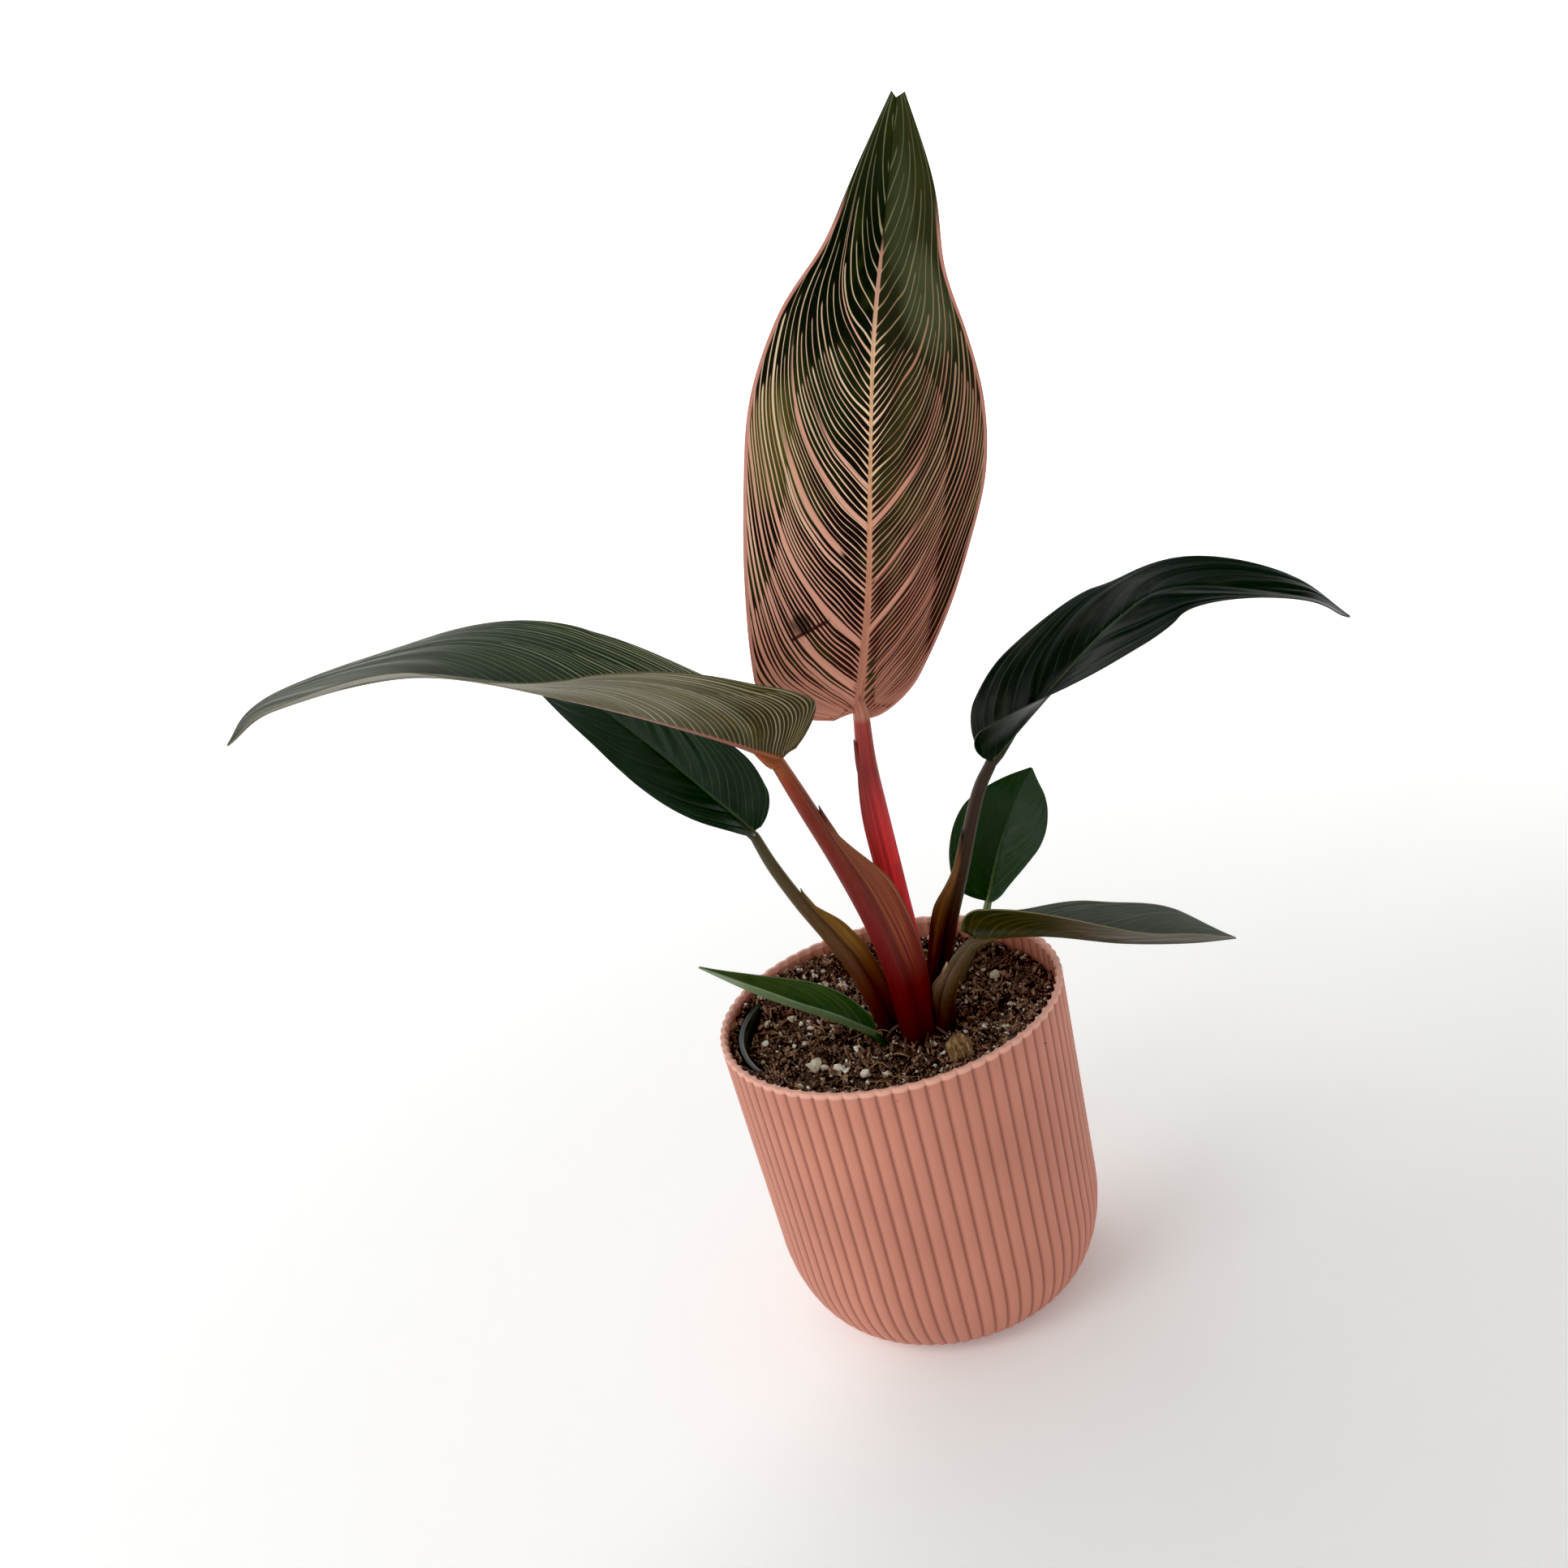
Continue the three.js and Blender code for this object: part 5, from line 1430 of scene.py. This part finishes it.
def blade_finish(name, looks):
    finish = Finish(name, Specular_IOR_Level=looks["shine"])
    spot = finish.stored("leaf", "Vector")
    under = finish.stored("under")
    width = finish.stored("width")
    v, t, distance = finish.parts(spot)
    out = abs(v)
    right = v > 0
    side = right * 9 + under * 4
    vein = vein_place(t, out)
    bend = finish.noise(finish.point(vein * 11, out * 2.6, side), 1, 1)
    sway = (bend - 0.5) * looks.get("waver", LINE_WAVER)
    place = (vein - vein * vein * LINES_THIN_OUT + sway) * looks["count"]
    sweep, curve = vein_slopes(t)
    across = (out * out * curve * 3 + sweep) / width
    density = (across * across + 1 / BLADE_REACH**2) ** 0.5
    density = density * (1 - vein * (2 * LINES_THIN_OUT)) * looks["count"]
    crowd = density * (1 + RIB_CROWD - finish.rise(out, 0.1, 0.5) * RIB_CROWD)
    crowd = crowd * (finish.rise(t, 0.5, 0.66) * TIP_CROWD + 1)
    line_number, offset, gone = line_comb(finish, place, density, crowd, 1)
    for spread in LINE_SPREADS:
        wider = line_comb(finish, place, density, crowd, spread)
        there = crowd > LINES_CROWDED * spread / 2
        line_number = line_number + (wider[0] - line_number) * there
        offset = offset + (wider[1] - offset) * there
        gone = gone + (wider[2] - gone) * there
    own = {"Vector": finish.point(line_number, side, 0.5)}
    wide, hue, bold = finish.parts(finish.node("ShaderNodeTexWhiteNoise", None, own, "Color"))
    strand = finish.noise(finish.point(place * 0.9, out * 5, side + 3), 1, 2)
    feather = (1 - finish.rise(distance, 0.5, 5)) * looks.get("feather", 0.0)
    chance = wide * WIDTH_CHANCE + WIDTH_LEAST + (bold > BOLD_FROM) * BOLD_EXTRA
    chance = (chance + (strand - 0.5) * STRAND_CHANCE) * (1 - gone)
    chance = chance * (finish.rise(out, 0.0, 0.4) * 0.3 + 0.7)
    comb = (offset, chance, feather - gone * 0.3)
    cloud = finish.noise(finish.point(v * 2.4, t * 7, side), 1, 2)

    ground, lines, line = painted(finish, t, comb, hue, cloud, looks["left"])
    if looks["right"] is not looks["left"]:
        other_ground, other_lines, other_line = painted(finish, t, comb, hue, cloud, looks["right"])
        ground = finish.mix(right, ground, other_ground)
        lines = finish.mix(right, lines, other_lines)
        line = line + (other_line - line) * right
    # Spots of the blade's own tint, with a painted shadow and a painted sheen among them.
    for spot_v, spot_t, half_v, half_t, shade, strength in looks.get("tint_shadow_and_sheen_spots", ()):
        here = oval(finish, v - spot_v, t - spot_t, half_v, half_t) * strength
        ground = finish.mix(here, ground, shade)
        lines = finish.mix(here * strength * 0.8, lines, shade)
    for spot_v, spot_t, half_v, half_t in looks.get("glows", ()):
        glow = oval(finish, v - spot_v, t - spot_t, half_v, half_t) * 0.6
        lines = finish.mix(glow, lines, (250, 216, 180))
    for half_side, start, low, high, span in looks.get("bands", ()):
        far = abs(vein + (bend - 0.5) * 0.012 - start)
        band = (1 - finish.rise(far, span * 0.6, span)) * (v * half_side > 0)
        band = band * finish.rise(out, low - 0.06, low) * (1 - finish.rise(out, high - 0.2, high))
        lines = finish.mix(band * 0.7, lines, looks["band_colour"])
        line = finish.most(line, band)
    colour = finish.mix(line, ground, lines)
    if looks.get("crease"):
        # Painted shadow: a dark line along the crease.
        crease_shadow = 1 - finish.rise(abs(t - crease_place(out)), 0.002, 0.005)
        crease_shadow = crease_shadow * finish.rise(out, CREASE_FROM[0], CREASE_FROM[0] + 0.06) * (out < CREASE_TO[0]) * (v < 0)
        colour = finish.mix(crease_shadow * 0.9, colour, (40, 16, 14))
    back_ground, back_lines, back_line = painted(finish, t, comb, hue, cloud, looks["under"])
    colour = finish.mix(under, colour, finish.mix(back_line, back_ground, back_lines))

    rib_span = finish.ramp(t, looks["rib_width"]) * RIB_SPAN * (1.25 - finish.least(offset, 0.5))
    rib = 1 - finish.rise(distance / rib_span, 0.7, 1.1)
    rib_fibre = finish.noise(finish.point(distance * 2.4, t * 14, side), 1, 2)
    rib_streak = finish.rise(rib_fibre, 0.45, 0.7) * 0.35
    rib_colour = finish.mix(rib_streak, finish.ramp(t, looks["rib_colour"]), ground)
    colour = finish.mix(rib * 0.92, colour, rib_colour)
    edge = width - distance
    rim = 1 - finish.rise(edge, looks["margin_width"] * 0.6, looks["margin_width"])
    if "margin_end" in looks:
        rim = rim * (1 - finish.rise(t, looks["margin_end"] - 0.08, looks["margin_end"]))
    colour = finish.mix(rim * 0.9, colour, looks["margin"])
    cells = finish.noise(finish.surface(), 900, 2)
    finish.set(Base_Color=colour, Roughness=line * 0.06 + cells * 0.1 + looks["roughness"] - 0.05)
    finish.relief(cells * 0.3 + line * 0.4, 0.1)
    return finish.material


for leaf_name, leaf in LEAVES.items():
    looks = BLADE_LOOKS[leaf_name]
    skin = blade_finish(f"blade_skin_{leaf_name}", looks)
    sheet = blade_mesh(f"leaf_{leaf_name}", leaf, looks)
    new_piece(f"leaf_{leaf_name}", sheet, skin, looks["slot"], [f"blade_{leaf_name}"])
